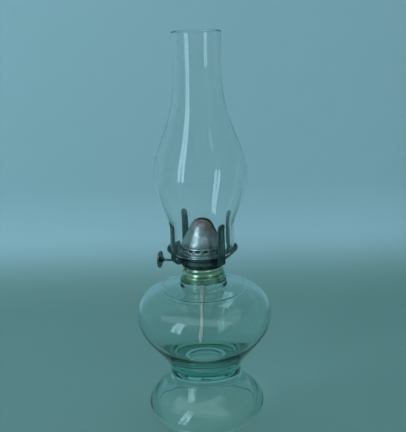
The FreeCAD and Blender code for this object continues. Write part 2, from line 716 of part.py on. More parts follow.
def chimney_holder():
    """Band round the cup with two wide flared seats for the chimney."""
    body = new_body("chimney_holder")
    revolve(body, "band", [
        (HOLDER_INNER, HOLDER_BOTTOM), (HOLDER_OUTER, HOLDER_BOTTOM),
        (HOLDER_OUTER, HOLDER_TOP), (HOLDER_INNER, HOLDER_TOP)])
    seat = new_sketch(body, "seat_outline")
    draw_outline(seat, seat_outline())
    sector = body.newObject("PartDesign::Revolution", "chimney_holder_seat")
    sector.Profile = seat
    sector.ReferenceAxis = (seat, ["V_Axis"])
    sector.Midplane = True
    sector.setExpression("Angle", "2deg * size.seat_half_angle")
    doc.recompute()
    repeat(body, sector, "seats", "2")
    hole = new_sketch(body, "shaft_notch", "YZ_Plane")
    draw_circle(hole, "-size.shaft_offset", SHAFT_Z, BUSH_HOLE)
    extrude(body, hole, "notches", f"2.4 * {HOLDER_OUTER}", pocket=True, both=True)
    rivet_holes(body)


def seat_outline():
    """A seat's section: level at the band, then a smooth bend into a 45 degree slope."""
    thick = "size.holder_sheet"
    sheet_z = f"({HOLDER_TOP} - {thick})"
    root = f"({HOLDER_OUTER} - {SINK})"
    low_bend = f"({SEAT_BEND} + 0.4142 * {thick})"
    low_run = f"(size.seat_bend_run + 0.2929 * {thick})"
    return [
        (root, sheet_z),
        [(low_bend, sheet_z)],
        (f"{low_bend} + {low_run}", f"{sheet_z} + {low_run}"),
        (f"{low_bend} + size.seat_slope", f"{sheet_z} + size.seat_slope"),
        (f"{low_bend} + size.seat_slope - 0.7071 * {thick}",
         f"{sheet_z} + size.seat_slope + 0.7071 * {thick}"),
        (f"{SEAT_BEND} + size.seat_bend_run", f"{HOLDER_TOP} + size.seat_bend_run"),
        [(SEAT_BEND, HOLDER_TOP)],
        (root, HOLDER_TOP)]


def prong(label, azimuth):
    """Spring prong: foot on the band, shelf outwards, ribbed blade and a flared round tip."""
    body = new_body(label)
    thick = "size.holder_sheet"
    foot = f"({HOLDER_OUTER} + size.fit_gap)"
    shelf = f"({HOLDER_TOP} - {thick})"
    under = f"({shelf} - {SINK})"
    over = f"({under} + {thick})"
    knee = f"({foot} + {thick} + size.prong_shelf)"
    knee_top = f"({CHIMNEY_BOTTOM} - size.prong_knee_height)"
    blade_top = f"({CHIMNEY_BOTTOM} + size.prong_height)"
    curl = f"({blade_top} + 0.4 * size.prong_tip_height)"
    tip = f"({blade_top} + size.prong_tip_height)"
    side = new_sketch(body, "side")
    draw_outline(side, [
        (foot, HOLDER_BOTTOM), (f"{foot} + {thick}", HOLDER_BOTTOM),
        (f"{foot} + {thick}", under),
        (knee, under),
        [(PRONG_OUTER, under)],
        (PRONG_OUTER, knee_top),
        (PRONG_OUTER, blade_top),
        [(PRONG_OUTER, curl)],
        (f"{PRONG_OUTER} + size.prong_tip_flare", tip),
        (f"{PRONG_INNER} + size.prong_tip_flare", tip),
        [(PRONG_INNER, curl)],
        (PRONG_INNER, blade_top),
        (PRONG_INNER, knee_top),
        [(PRONG_INNER, over)],
        (knee, over), (foot, over)])
    extrude(body, side, "strip", "size.prong_width", both=True)
    base = "(size.prong_width / 2)"
    slim = "(size.prong_tip_width / 2)"
    front = new_sketch(body, "front", "YZ_Plane")
    draw_box(front, f"-2 * {base}", f"2 * {base}", f"{HOLDER_BOTTOM} - 5", f"{tip} + 5")
    draw_outline(front, [
        (f"-{base}", f"{HOLDER_BOTTOM} - 1"), (base, f"{HOLDER_BOTTOM} - 1"), (base, shelf),
        (slim, f"{tip} - {slim}"),
        [(slim, tip)], ("0", tip), [(f"-{slim}", tip)],
        (f"-{slim}", f"{tip} - {slim}"), (f"-{base}", shelf)])
    extrude(body, front, "outline", f"4 * {PRONG_OUTER}", pocket=True, both=True)
    ribs = new_sketch(body, "ribs", "XY_Plane")
    ribs.setExpression("AttachmentOffset.Base.z", f"{CHIMNEY_BOTTOM} + 1")
    for place in ("-size.rib_spacing", "0", "size.rib_spacing"):
        draw_circle(ribs, f"{PRONG_OUTER} - 0.1", place, "size.rib_radius")
    extrude(body, ribs, "rib", "size.prong_height - 2")
    rivet_hole(body, "rivet")
    turn(body, azimuth)


def prongs():
    """The four spring prongs stand in front of and behind the seats."""
    for side, azimuth in PRONG_AZIMUTHS.items():
        prong(f"prong_{side}", azimuth)


def deflector():
    """Domed deflector: flange and spigot on the cup's rim, air slits, bell and flame slot."""
    body = new_body("deflector")
    low = DEFLECTOR_BOTTOM
    thick = "size.deflector_sheet"
    spigot = f"({CUP_INNER} - size.seat_gap)"
    rim = "(size.cup_radius + size.deflector_flange_reach)"
    band_top = f"({low} + size.deflector_band_height)"
    band_in = f"(size.deflector_band_radius - {thick})"
    bell = [
        ("size.deflector_shoulder_radius", f"{low} + size.deflector_shoulder_height"),
        ("size.deflector_side_radius", f"{low} + size.deflector_side_height"),
        ("size.deflector_crown_radius", f"{low} + size.deflector_crown_height"),
        ("size.deflector_top_radius", f"{low} + size.deflector_top_height")]
    lining = [
        (f"size.deflector_top_radius - 0.47 * {thick}", f"{low} + size.deflector_top_height - {thick}"),
        (f"size.deflector_crown_radius - 0.88 * {thick}",
         f"{low} + size.deflector_crown_height - 0.48 * {thick}"),
        (f"size.deflector_side_radius - 0.9 * {thick}",
         f"{low} + size.deflector_side_height - 0.45 * {thick}"),
        (f"size.deflector_shoulder_radius - {thick}",
         f"{low} + size.deflector_shoulder_height - 0.33 * {thick}")]
    revolve(body, "shell", [
        (spigot, f"{low} - size.spigot_depth"), (spigot, low), (rim, low),
        [(f"{rim} + {SINK}", f"{low} + 0.5 * size.deflector_flange")],
        (rim, f"{low} + size.deflector_flange"),
        ("size.deflector_band_radius", f"{low} + size.deflector_flange"),
        ("size.deflector_band_radius", f"{band_top} - size.deflector_band_edge"),
        ("size.deflector_band_radius - size.deflector_band_inset", band_top),
        bell,
        ("0", f"{low} + size.deflector_height"),
        ("0", f"{low} + size.deflector_height - {thick}"),
        lining,
        (f"{band_in} - size.deflector_band_inset", f"{band_top} - 0.1 * {thick}"),
        (band_in, f"{band_top} - size.deflector_band_edge - 0.2 * {thick}"),
        (band_in, f"{low} + {thick}"),
        (f"{spigot} - {thick}", f"{low} + {thick}"),
        (f"{spigot} - {thick}", f"{low} - size.spigot_depth")])
    slot = new_sketch(body, "flame_slot_outline", "YZ_Plane")
    draw_box(slot, "-size.flame_slot_width / 2", "size.flame_slot_width / 2",
             f"{low} + size.flame_slot_height", f"{low} + size.deflector_height + 2")
    extrude(body, slot, "flame_slot", "4 * size.deflector_band_radius", pocket=True, both=True)
    slit = new_sketch(body, "slit_outline", "YZ_Plane")
    middle = f"({low} + size.air_slit_place)"
    draw_box(slit, "-size.air_slit_length / 2", "size.air_slit_length / 2",
             f"{middle} - size.air_slit_height / 2", f"{middle} + size.air_slit_height / 2")
    cut = extrude(body, slit, "slit", "2 * size.deflector_band_radius", pocket=True, reverse=True)
    repeat(body, cut, "slits", "size.air_slit_count")


def chimney():
    """Clear glass chimney: fitter, belly, long slope and neck with fire-polished edges."""
    body = new_body("chimney")
    low = CHIMNEY_BOTTOM
    wall = "size.chimney_wall"
    lip = f"({wall} / 2)"

    def side(inset):
        """The control points between the fitter and the mouth."""
        return [
            (f"size.chimney_base_radius - 0.3 - {inset}", f"{low} + size.chimney_collar_height"),
            (f"size.chimney_waist_radius - {inset}", f"{low} + size.chimney_waist_height"),
            (f"size.chimney_belly_radius - {inset}", f"{low} + size.chimney_belly_height"),
            (f"size.chimney_slope_radius - {inset}", f"{low} + size.chimney_slope_height"),
            (f"size.chimney_throat_radius - {inset}", f"{low} + size.chimney_throat_height"),
            (f"size.chimney_neck_radius - {inset}", f"{low} + size.chimney_neck_height"),
            (f"size.chimney_mouth_radius - {inset}", f"{low} + size.chimney_lip_height")]

    base = "size.chimney_base_radius"
    mouth = "size.chimney_mouth_radius"
    top = f"({low} + size.chimney_height)"
    revolve(body, "glass", [
        (f"{base} - {lip}", low),
        [(base, low)],
        (base, f"{low} + {lip}"),
        side("0"),
        (mouth, f"{top} - {lip}"),
        [(mouth, top)],
        (f"{mouth} - {lip}", top),
        [(f"{mouth} - {wall}", top)],
        (f"{mouth} - {wall}", f"{top} - {lip}"),
        list(reversed(side(wall))),
        (f"{base} - {wall}", f"{low} + {lip}"),
        [(f"{base} - {wall}", low)]])


def rivet_hole(body, name, angle=None):
    """Bore one rivet's hole outwards through a wall, at an azimuth in degrees."""
    sketch = new_sketch(body, f"{name}_hole", "YZ_Plane")
    draw_circle(sketch, "0", RIVET_Z, "size.rivet_radius + size.fit_gap")
    if angle:
        up = FreeCAD.Vector(0, 1, 0)
        sketch.AttachmentOffset = FreeCAD.Placement(FreeCAD.Vector(), FreeCAD.Rotation(up, 1))
        sketch.setExpression("AttachmentOffset.Rotation.Angle", f"({angle}) * 1deg")
    extrude(body, sketch, f"{name}_bore", "2 * size.cup_radius", pocket=True, reverse=True)


def rivet_holes(body):
    """Bore the four prongs' rivet holes through a round wall."""
    for side, azimuth in PRONG_AZIMUTHS.items():
        rivet_hole(body, f"rivet_{side}", azimuth)


def prong_rivets():
    """One rivet through each prong's foot, the band and the cup's wall, as one group."""
    parts = []
    outside = f"({HOLDER_OUTER} + size.fit_gap + size.holder_sheet)"
    inside = CUP_INNER
    shank = "size.rivet_radius"
    head = "size.rivet_head_radius"
    for side, azimuth in PRONG_AZIMUTHS.items():
        body = doc.addObject("PartDesign::Body", f"rivet_{side}")
        sketch = new_sketch(body, "section")
        draw_outline(sketch, [
            (f"{inside} - size.rivet_head", "0"), (f"{outside} + size.rivet_head", "0"),
            (f"{outside} + size.rivet_head", f"0.55 * {head}"),
            (f"{outside} + 0.4 * size.rivet_head", head), (outside, head),
            (outside, shank), (inside, shank), (inside, f"0.9 * {head}"),
            (f"{inside} - size.rivet_head", f"0.9 * {head}")])
        feature = body.newObject("PartDesign::Revolution", f"rivet_{side}_turned")
        feature.Profile = sketch
        feature.ReferenceAxis = (sketch, ["H_Axis"])
        turn(body, azimuth)
        move(body, z=RIVET_Z)
        parts.append(body)
    group = doc.addObject("Part::Compound", "prong_rivets")
    group.Label = "prong_rivets"
    group.Links = parts
    made.append(group)
    doc.recompute()


def write_parts():
    """Stop on any failed object, then write each piece to its own file."""
    doc.recompute()
    for item in doc.Objects:
        if any(word in item.State for word in ("Invalid", "Error")):
            raise RuntimeError(f"{item.Label} failed: {item.State}")
    for item in made:
        if item.Shape.isNull() or not item.Shape.isValid() or not item.Shape.Solids:
            raise RuntimeError(f"{item.Label} has no valid solid")
    os.makedirs("parts", exist_ok=True)
    for item in made:
        item.Shape.exportStep(f"parts/{item.Label}.step")
        box = item.Shape.BoundBox
        print(f"{item.Label}: {len(item.Shape.Solids)} solid, {item.Shape.Volume:.1f} mm3, "
              f"z {box.ZMin:.2f} to {box.ZMax:.2f}, x {box.XMin:.2f} to {box.XMax:.2f}")


fill_sheet()
font_glass()
collar()
collar_cement()
burner_gasket()
screw_skirt()
burner_cup()
air_plate()
wick_tube()
wick()
raiser_shaft()
thumb_wheel()
feed_wheels()
shaft_sleeves()
chimney_holder()
prongs()
prong_rivets()
deflector()
chimney()
write_parts()
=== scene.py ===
"""Looks of a flat-wick kerosene table lamp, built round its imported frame.

New pieces are surfaces of two parameters worked out with numpy: outlines of radius and height
turned about the lamp's axis, sheet strips carried along a bent path, and a woven ribbon.
Lengths in the classes are millimetres and angles degrees; meshes are in metres.
"""
import logging
import math
from dataclasses import dataclass, field
from enum import Enum
from functools import lru_cache
from typing import Callable, Optional, Sequence, Union

import bmesh
import bpy
import numpy as np
from mathutils import Matrix, Vector


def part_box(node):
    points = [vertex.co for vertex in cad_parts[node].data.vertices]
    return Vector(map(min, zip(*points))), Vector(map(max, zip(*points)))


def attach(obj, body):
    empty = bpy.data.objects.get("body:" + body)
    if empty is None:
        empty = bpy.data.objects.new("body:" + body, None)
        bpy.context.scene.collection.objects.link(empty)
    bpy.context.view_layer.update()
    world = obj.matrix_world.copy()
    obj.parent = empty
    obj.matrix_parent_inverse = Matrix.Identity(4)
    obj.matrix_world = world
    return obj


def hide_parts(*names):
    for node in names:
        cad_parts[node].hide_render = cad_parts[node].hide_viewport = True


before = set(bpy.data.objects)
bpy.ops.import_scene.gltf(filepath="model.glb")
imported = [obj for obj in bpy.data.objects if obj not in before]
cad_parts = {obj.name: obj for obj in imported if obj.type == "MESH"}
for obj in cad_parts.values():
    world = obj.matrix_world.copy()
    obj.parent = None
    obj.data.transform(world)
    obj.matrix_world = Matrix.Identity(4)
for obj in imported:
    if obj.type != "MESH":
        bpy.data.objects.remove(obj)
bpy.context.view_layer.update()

MM = 0.001
UP = np.array([0.0, 0.0, 1.0])
log = logging.getLogger("table_lamp")

Colour = tuple[float, float, float]
Outline = np.ndarray
Ripple = Callable[[np.ndarray, np.ndarray, np.ndarray], np.ndarray]


def levels(node: str) -> tuple[float, float]:
    """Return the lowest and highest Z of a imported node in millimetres."""
    low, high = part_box(node)
    return low[2] / MM, high[2] / MM


# Curves and grids


def clamped_spline(poles: Sequence[tuple[float, float]], count: int) -> Outline:
    """Points on a clamped B-spline of degree 3, or less with few poles.

    The curve is the sum of the poles times their basis functions, which the Cox-de Boor
    recursion raises degree by degree on evenly spaced inner knots.

    Args:
        poles: control points as radius and height.
        count: number of points returned, both ends included.

    Returns:
        An array of count rows of radius and height.
    """
    points = np.asarray(poles, float)
    degree = min(3, len(points) - 1)
    inner = len(points) - degree
    knots = np.concatenate([np.zeros(degree), np.linspace(0, 1, inner + 1), np.ones(degree)])
    where = np.linspace(0, 1, count)
    spans = len(knots) - 1
    basis = np.array([(where >= knots[i]) & (where < knots[i + 1]) for i in range(spans)], float).T
    basis[-1, inner + degree - 1] = 1
    for order in range(1, degree + 1):
        width = spans - order
        left = knots[order:order + width] - knots[:width]
        right = knots[order + 1:order + 1 + width] - knots[1:1 + width]
        rise = np.divide(where[:, None] - knots[:width], left, where=left > 0,
                         out=np.zeros((count, width)))
        fall = np.divide(knots[order + 1:order + 1 + width] - where[:, None], right,
                         where=right > 0, out=np.zeros((count, width)))
        basis = rise * basis[:, :width] + fall * basis[:, 1:width + 1]
    return basis @ points


def straight(start: tuple[float, float], end: tuple[float, float], count: int) -> Outline:
    """Evenly spaced points from start to end, both included."""
    share = np.linspace(0, 1, count)[:, None]
    return np.asarray(start, float) * (1 - share) + np.asarray(end, float) * share


def joined(*runs: Outline) -> Outline:
    """Join runs of points to one outline and drop the points that repeat."""
    points = np.concatenate(runs)
    apart = np.linalg.norm(np.diff(points, axis=0), axis=1) > 1e-6
    return points[np.concatenate([[True], apart])]


def rounded(corners: Sequence[tuple[float, float]], radius: float, closed: bool = True,
            count: int = 5) -> Outline:
    """Round the corners of a polygon.

    Each corner becomes a quadratic curve that starts and ends one radius, or a little under half
    a side, away from it.

    Args:
        corners: the polygon's corners as radius and height.
        radius: how far from a corner the rounding starts.
        closed: whether the last corner joins the first.
        count: points on each rounding.

    Returns:
        The outline's points in order.
    """
    points = np.asarray(corners, float)
    runs = []
    for index, corner in enumerate(points):
        if not closed and index in (0, len(points) - 1):
            runs.append(corner[None, :])
            continue
        before = points[index - 1] - corner
        after = points[(index + 1) % len(points)] - corner
        start = corner + before * min(radius / np.linalg.norm(before), 0.48)
        end = corner + after * min(radius / np.linalg.norm(after), 0.48)
        share = np.linspace(0, 1, count)[:, None]
        runs.append((1 - share) ** 2 * start + 2 * share * (1 - share) * corner
                    + share ** 2 * end)
    return np.concatenate(runs)


def grid_object(name: str, grid: np.ndarray, wrap_rows: bool = False, wrap_columns: bool = False,
                start: Optional[np.ndarray] = None, end: Optional[np.ndarray] = None,
                sharp: float = 40.0, uv: bool = False, weld: bool = False) -> bpy.types.Object:
    """Make a mesh object of a grid of points, in rows and columns.

    Args:
        name: the piece's name.
        grid: points in millimetres, rows by columns by three.
        wrap_rows: whether the last row joins the first.
        wrap_columns: whether the last column joins the first.
        start: a point that closes the first row with a fan.
        end: a point that closes the last row with a fan.
        sharp: edges that turn by more than this many degrees stay sharp.
        uv: whether the grid's own parameters become a UV map.
        weld: whether points that meet are joined and open ends closed.

    Returns:
        The new object, at the origin, with its faces pointing outwards.
    """
    rows, columns = grid.shape[:2]
    index = np.arange(rows * columns).reshape(rows, columns)
    row_next = np.roll(index, -1, 0) if wrap_rows else index[1:]
    row_here = index if wrap_rows else index[:-1]
    if wrap_columns:
        quads = np.stack([row_here, np.roll(row_here, -1, 1), np.roll(row_next, -1, 1),
                          row_next], -1)
    else:
        quads = np.stack([row_here[:, :-1], row_here[:, 1:], row_next[:, 1:], row_next[:, :-1]], -1)
    faces = quads.reshape(-1, 4).tolist()
    points = [grid.reshape(-1, 3)]
    total = rows * columns
    for tip, row, flip in ((start, index[0], True), (end, index[-1], False)):
        if tip is None:
            continue
        ring = np.stack([row, np.roll(row, -1), np.full(columns, total)], -1)
        faces += (ring[:, ::-1] if flip else ring).tolist()
        points.append(np.asarray(tip, float)[None, :])
        total += 1
    mesh = bpy.data.meshes.new(name)
    mesh.from_pydata((np.concatenate(points) * MM).tolist(), [], faces)
    if uv:
        layer = mesh.uv_layers.new(name="UVMap")
        corners = np.empty(len(mesh.loops), int)
        mesh.loops.foreach_get("vertex_index", corners)
        places = np.stack([corners % columns / (columns - 1), corners // columns / (rows - 1)], -1)
        layer.data.foreach_set("uv", places.ravel())
    work = bmesh.new()
    work.from_mesh(mesh)
    if weld:
        bmesh.ops.remove_doubles(work, verts=work.verts, dist=1e-6)
        bmesh.ops.holes_fill(work, edges=work.edges, sides=0)
    bmesh.ops.recalc_face_normals(work, faces=work.faces)
    work.to_mesh(mesh)
    work.free()
    mesh.polygons.foreach_set("use_smooth", np.ones(len(mesh.polygons), bool))
    mesh.set_sharp_from_angle(angle=math.radians(sharp))
    mesh.update()
    piece = bpy.data.objects.new(name, mesh)
    bpy.context.scene.collection.objects.link(piece)
    return piece


def turned(outline: Outline, angles: np.ndarray, ripple: Optional[Ripple] = None) -> np.ndarray:
    """Turn an outline about Z: x = r cos a, y = r sin a, with r moved by the ripple.

    Args:
        outline: points of radius and height.
        angles: the angles of the columns, in radians.
        ripple: gives a radial shift from the angle, the height and the radius.

    Returns:
        The grid of points, a row for each point of the outline.
    """
    radius = np.repeat(outline[:, 0, None], len(angles), 1)
    height = np.repeat(outline[:, 1, None], len(angles), 1)
    around = np.repeat(angles[None, :], len(outline), 0)
    if ripple is not None:
        radius = radius + ripple(around, height, radius)
    return np.stack([radius * np.cos(around), radius * np.sin(around), height], -1)


def full_turn(steps: int) -> np.ndarray:
    """Evenly spaced angles of one turn, the last one short of the first."""
    return np.arange(steps) * (2 * math.pi / steps)


def lathe(name: str, outline: Outline, steps: int = 128, ripple: Optional[Ripple] = None,
          sharp: float = 40.0) -> bpy.types.Object:
    """Turn a closed outline, or one that starts and ends on the axis, to a closed solid.

    Args:
        name: the piece's name.
        outline: points of radius and height.
        steps: columns round the axis.
        ripple: gives a radial shift from the angle, the height and the radius.
        sharp: edges that turn by more than this many degrees stay sharp.

    Returns:
        The new object.
    """
    on_axis = outline[0, 0] < 1e-6
    ring = outline[1:-1] if on_axis else outline
    grid = turned(ring, full_turn(steps), ripple)
    ends = [np.array([0.0, 0.0, outline[i, 1]]) if on_axis else None for i in (0, -1)]
    return grid_object(name, grid, wrap_rows=not on_axis, wrap_columns=True,
                       start=ends[0], end=ends[1], sharp=sharp)


def thicken(piece: bpy.types.Object, thickness: float, offset: float = -1.0) -> None:
    """Give a single sheet its wall with a Solidify modifier, in millimetres."""
    wall = piece.modifiers.new("wall", "SOLIDIFY")
    wall.thickness = thickness * MM
    wall.offset = offset
    wall.use_even_offset = True


# Shader building


def math_operator(operation: str, swapped: bool = False) -> Callable[..., "Shade"]:
    """Make a method that adds one Math node.

    Args:
        operation: the node's operation.
        swapped: whether the shade is the second value, as in 1 - shade.

    Returns:
        The method.
    """
    def method(self: "Shade", *others: "Number") -> "Shade":
        """The node's result."""
        values = (*others, self) if swapped else (self, *others)
        return self.maker.number("ShaderNodeMath", {"operation": operation},
                                 dict(enumerate(values)))
    return method


class Shade:
    """A number in a material, whose operators add Math nodes."""

    __add__ = __radd__ = math_operator("ADD")
    __mul__ = __rmul__ = math_operator("MULTIPLY")
    __sub__ = math_operator("SUBTRACT")
    __rsub__ = math_operator("SUBTRACT", swapped=True)
    sin = math_operator("SINE")

    def __init__(self, maker: "Material", socket: bpy.types.NodeSocket) -> None:
        """Keep the material that owns the socket."""
        self.maker = maker
        self.socket = socket

    def ramp(self, low: float, high: float, start: float = 0.0, end: float = 1.0) -> "Shade":
        """Smooth step: start below low, end above high."""
        return self.maker.number("ShaderNodeMapRange", {"interpolation_type": "SMOOTHSTEP"},
                                 {"Value": self, "From Min": low, "From Max": high,
                                  "To Min": start, "To Max": end})

    def held(self) -> "Shade":
        """The value kept between 0 and 1."""
        return self.maker.number("ShaderNodeClamp", {}, {"Value": self})


Number = Union[float, Shade]
Paint = Union[Colour, bpy.types.NodeSocket]


class Material:
    """One node material with a Principled shader."""

    def __init__(self, name: str) -> None:
        """Start with an empty tree, a Principled shader and an output."""
        self.material = bpy.data.materials.new(name)
        self.material.use_nodes = True
        self.tree = self.material.node_tree
        self.tree.nodes.clear()
        self.output = self.tree.nodes.new("ShaderNodeOutputMaterial")
        self.shader = self.tree.nodes.new("ShaderNodeBsdfPrincipled")
        self.tree.links.new(self.shader.outputs[0], self.output.inputs["Surface"])

    def node(self, kind: str, settings: dict, inputs: dict) -> bpy.types.Node:
        """Add a node.

        Args:
            kind: the node's type.
            settings: attributes set before anything is linked.
            inputs: values or links by socket name or number.

        Returns:
            The new node.
        """
        node = self.tree.nodes.new(kind)
        for name, value in settings.items():
            setattr(node, name, value)
        for key, value in inputs.items():
            self.feed(node.inputs[key], value)
        return node

    def feed(self, socket: bpy.types.NodeSocket, value: object) -> None:
        """Link a socket to another one, or set its value."""
        if isinstance(value, Shade):
            value = value.socket
        if isinstance(value, bpy.types.NodeSocket):
            self.tree.links.new(value, socket)
        elif isinstance(value, tuple) and socket.type == "RGBA":
            socket.default_value = (*value, 1.0)
        else:
            socket.default_value = value

    def number(self, kind: str, settings: dict, inputs: dict) -> Shade:
        """Add a node and return its first output as a number."""
        return Shade(self, self.node(kind, settings, inputs).outputs[0])

    def place(self) -> bpy.types.NodeSocket:
        """The Object coordinates, in metres."""
        return self.node("ShaderNodeTexCoord", {}, {}).outputs["Object"]

    def axes(self) -> tuple[Shade, Shade, Shade]:
        """The Object coordinates as three numbers, in millimetres."""
        split = self.node("ShaderNodeSeparateXYZ", {}, {0: self.place()})
        return tuple(Shade(self, output) * (1 / MM) for output in split.outputs)

    def noise(self, grain: float, detail: float = 3.0, rough: float = 0.5,
              stretch: Colour = (1.0, 1.0, 1.0)) -> Shade:
        """Noise whose features are about grain millimetres, divided by stretch along each axis."""
        moved = self.node("ShaderNodeVectorMath", {"operation": "MULTIPLY"},
                          {0: self.place(), 1: stretch}).outputs[0]
        return self.number("ShaderNodeTexNoise", {},
                           {"Vector": moved, "Scale": 1 / (grain * MM), "Detail": detail,
                            "Roughness": rough})

    def mix(self, factor: Number, first: Paint, second: Paint) -> bpy.types.NodeSocket:
        """Blend two colours: the first at 0, the second at 1."""
        node = self.node("ShaderNodeMix", {"data_type": "RGBA"}, {})
        self.feed(node.inputs[0], factor)
        self.feed(node.inputs[6], first)
        self.feed(node.inputs[7], second)
        return node.outputs[2]

    def bump(self, height: Shade, depth: float, normal: Optional[bpy.types.NodeSocket] = None
             ) -> bpy.types.NodeSocket:
        """A normal from a height whose 0 to 1 stands for depth millimetres."""
        inputs = {"Height": height, "Distance": depth * MM, "Strength": 1.0}
        if normal is not None:
            inputs["Normal"] = normal
        return self.node("ShaderNodeBump", {}, inputs).outputs[0]

    def set(self, **sockets: object) -> None:
        """Feed the Principled shader; an underscore in a name stands for a space."""
        for name, value in sockets.items():
            self.feed(self.shader.inputs[name.replace("_", " ")], value)


# Finishes


@dataclass(frozen=True)
class BlownGlass:
    """Clear blown glass with a faint tint, drawing waves and a little dust."""

    name: str
    surface: Colour
    absorbed: Colour
    density: float
    wave_depth: float
    wave_grain: float
    dust: float

    def make(self) -> bpy.types.Material:
        """Build the material."""
        m = Material(self.name)
        waves = m.noise(self.wave_grain, 1.0, 0.4, (1.0, 1.0, 0.45))
        smudge = m.noise(9.0, 4.0, 0.6).ramp(0.52, 0.75)
        m.set(Base_Color=m.mix(smudge * 0.5, self.surface, tuple(c * 0.97 for c in self.surface)),
              Roughness=smudge * self.dust, IOR=1.5, Transmission_Weight=1.0,
              Normal=m.bump(waves, self.wave_depth))
        volume = m.node("ShaderNodeVolumeAbsorption", {}, {"Color": self.absorbed,
                                                           "Density": self.density})
        m.tree.links.new(volume.outputs[0], m.output.inputs["Volume"])
        return m.material


@dataclass(frozen=True)
class Sheetmetal:
    """Drawn or rolled sheet metal with tarnish, fine scratches and stains."""

    name: str
    bright: Colour
    dull: Colour
    stain: Colour
    stain_from: float
    metallic: float
    roughness: tuple[float, float]
    coat: float = 0.0
    grain: float = 6.0
    relief: float = 0.012

    def make(self) -> bpy.types.Material:
        """Build the material."""
        m = Material(self.name)
        cloud = m.noise(self.grain, 4.0, 0.55).ramp(0.35, 0.68)
        spots = m.noise(self.grain * 0.45, 5.0, 0.6).ramp(self.stain_from, self.stain_from + 0.12)
        scratch = m.noise(0.9, 2.0, 0.5, (1.0, 1.0, 6.0))
        low, high = self.roughness
        colour = m.mix(cloud, self.bright, self.dull)
        m.set(Base_Color=m.mix(spots, colour, self.stain),
              Metallic=spots * (-0.5 * self.metallic) + self.metallic,
              Roughness=(cloud * (high - low) + scratch * 0.06 + spots * 0.2 + low).held(),
              Coat_Weight=self.coat, Coat_Roughness=0.12,
              Normal=m.bump(scratch + cloud * 2.0, self.relief))
        return m.material


@dataclass(frozen=True)
class RibbedSteel:
    """Dark plated spring steel, lighter on its ribs and edges: partly rubbed wear, partly a painted
    highlight on the rib crests.
    """

    name: str = "ribbed_prong_steel"
    plating: Colour = (0.10, 0.15, 0.145)
    dull: Colour = (0.055, 0.085, 0.082)
    # lighter colour of the crests: partly rubbed metal, partly painted highlight
    crest_wear_and_highlight: Colour = (0.36, 0.46, 0.45)
    rib_share: float = 1.9 / 7.5

    def make(self) -> bpy.types.Material:
        """Build the material. The lighter crests, partly wear and partly painted highlight, are a
        cosine across the strip, with a crest on each rib.
        """
        m = Material(self.name)
        uv = m.node("ShaderNodeUVMap", {"uv_map": "UVMap"}, {}).outputs[0]
        across, along, _ = (Shade(m, o) for o in
                            m.node("ShaderNodeSeparateXYZ", {}, {0: uv}).outputs)
        turn = 2 * math.pi / self.rib_share
        crest = ((across - 0.5) * turn + math.pi / 2).sin().ramp(0.35, 1.0)
        blotch = m.noise(3.0, 4.0, 0.6)
        cloud = blotch.ramp(0.35, 0.68)
        # painted highlight mixed with wear: ribs and edges lighter, broken by blotches
        wear_and_highlight = (crest * along.ramp(0.30, 0.46) * blotch.ramp(0.30, 0.55)).held()
        m.set(Base_Color=m.mix(wear_and_highlight * 0.7, m.mix(cloud, self.plating, self.dull), self.crest_wear_and_highlight),
              Metallic=0.9, Roughness=(cloud * 0.14 + 0.34 - wear_and_highlight * 0.08).held(),
              Normal=m.bump(blotch, 0.02))
        return m.material


@dataclass(frozen=True)
class HeatStained:
    """Plated steel that heat has browned near the crown and on the flank under the slot."""

    name: str = "heat_stained_steel"
    bright: Colour = (0.44, 0.47, 0.47)
    dull: Colour = (0.15, 0.18, 0.175)
    brown: Colour = (0.21, 0.12, 0.08)
    violet: Colour = (0.30, 0.24, 0.31)
    low: float = 148.0
    crown: float = 175.0

    def make(self) -> bpy.types.Material:
        """Build the material. Stain grows with height, towards +X, and with broken noise."""
        m = Material(self.name)
        x, _, z = m.axes()
        patches = m.noise(4.2, 5.0, 0.62)
        fine = m.noise(1.1, 4.0, 0.6)
        top = z.ramp(self.crown - 9.0, self.crown + 3.0)
        flank = x.ramp(1.0, 11.0) * z.ramp(self.low + 6.0, self.crown - 6.0)
        heat = (top * 0.34 + flank * 0.30 + patches + fine * 0.22)
        rust = heat.ramp(0.78, 1.02)
        bloom = heat.ramp(0.60, 0.86)
        cloud = m.noise(7.0, 3.0, 0.5).ramp(0.4, 0.7)
        plated = m.mix(cloud * 0.6, self.bright, self.dull)
        m.set(Base_Color=m.mix(rust * 0.92, m.mix(bloom * 0.55, plated, self.violet), self.brown),
              Metallic=1.0 - rust * 0.65, Roughness=(rust * 0.24 + cloud * 0.08 + 0.34).held(),
              Normal=m.bump(rust * fine + cloud * 0.3, 0.05))
        return m.material


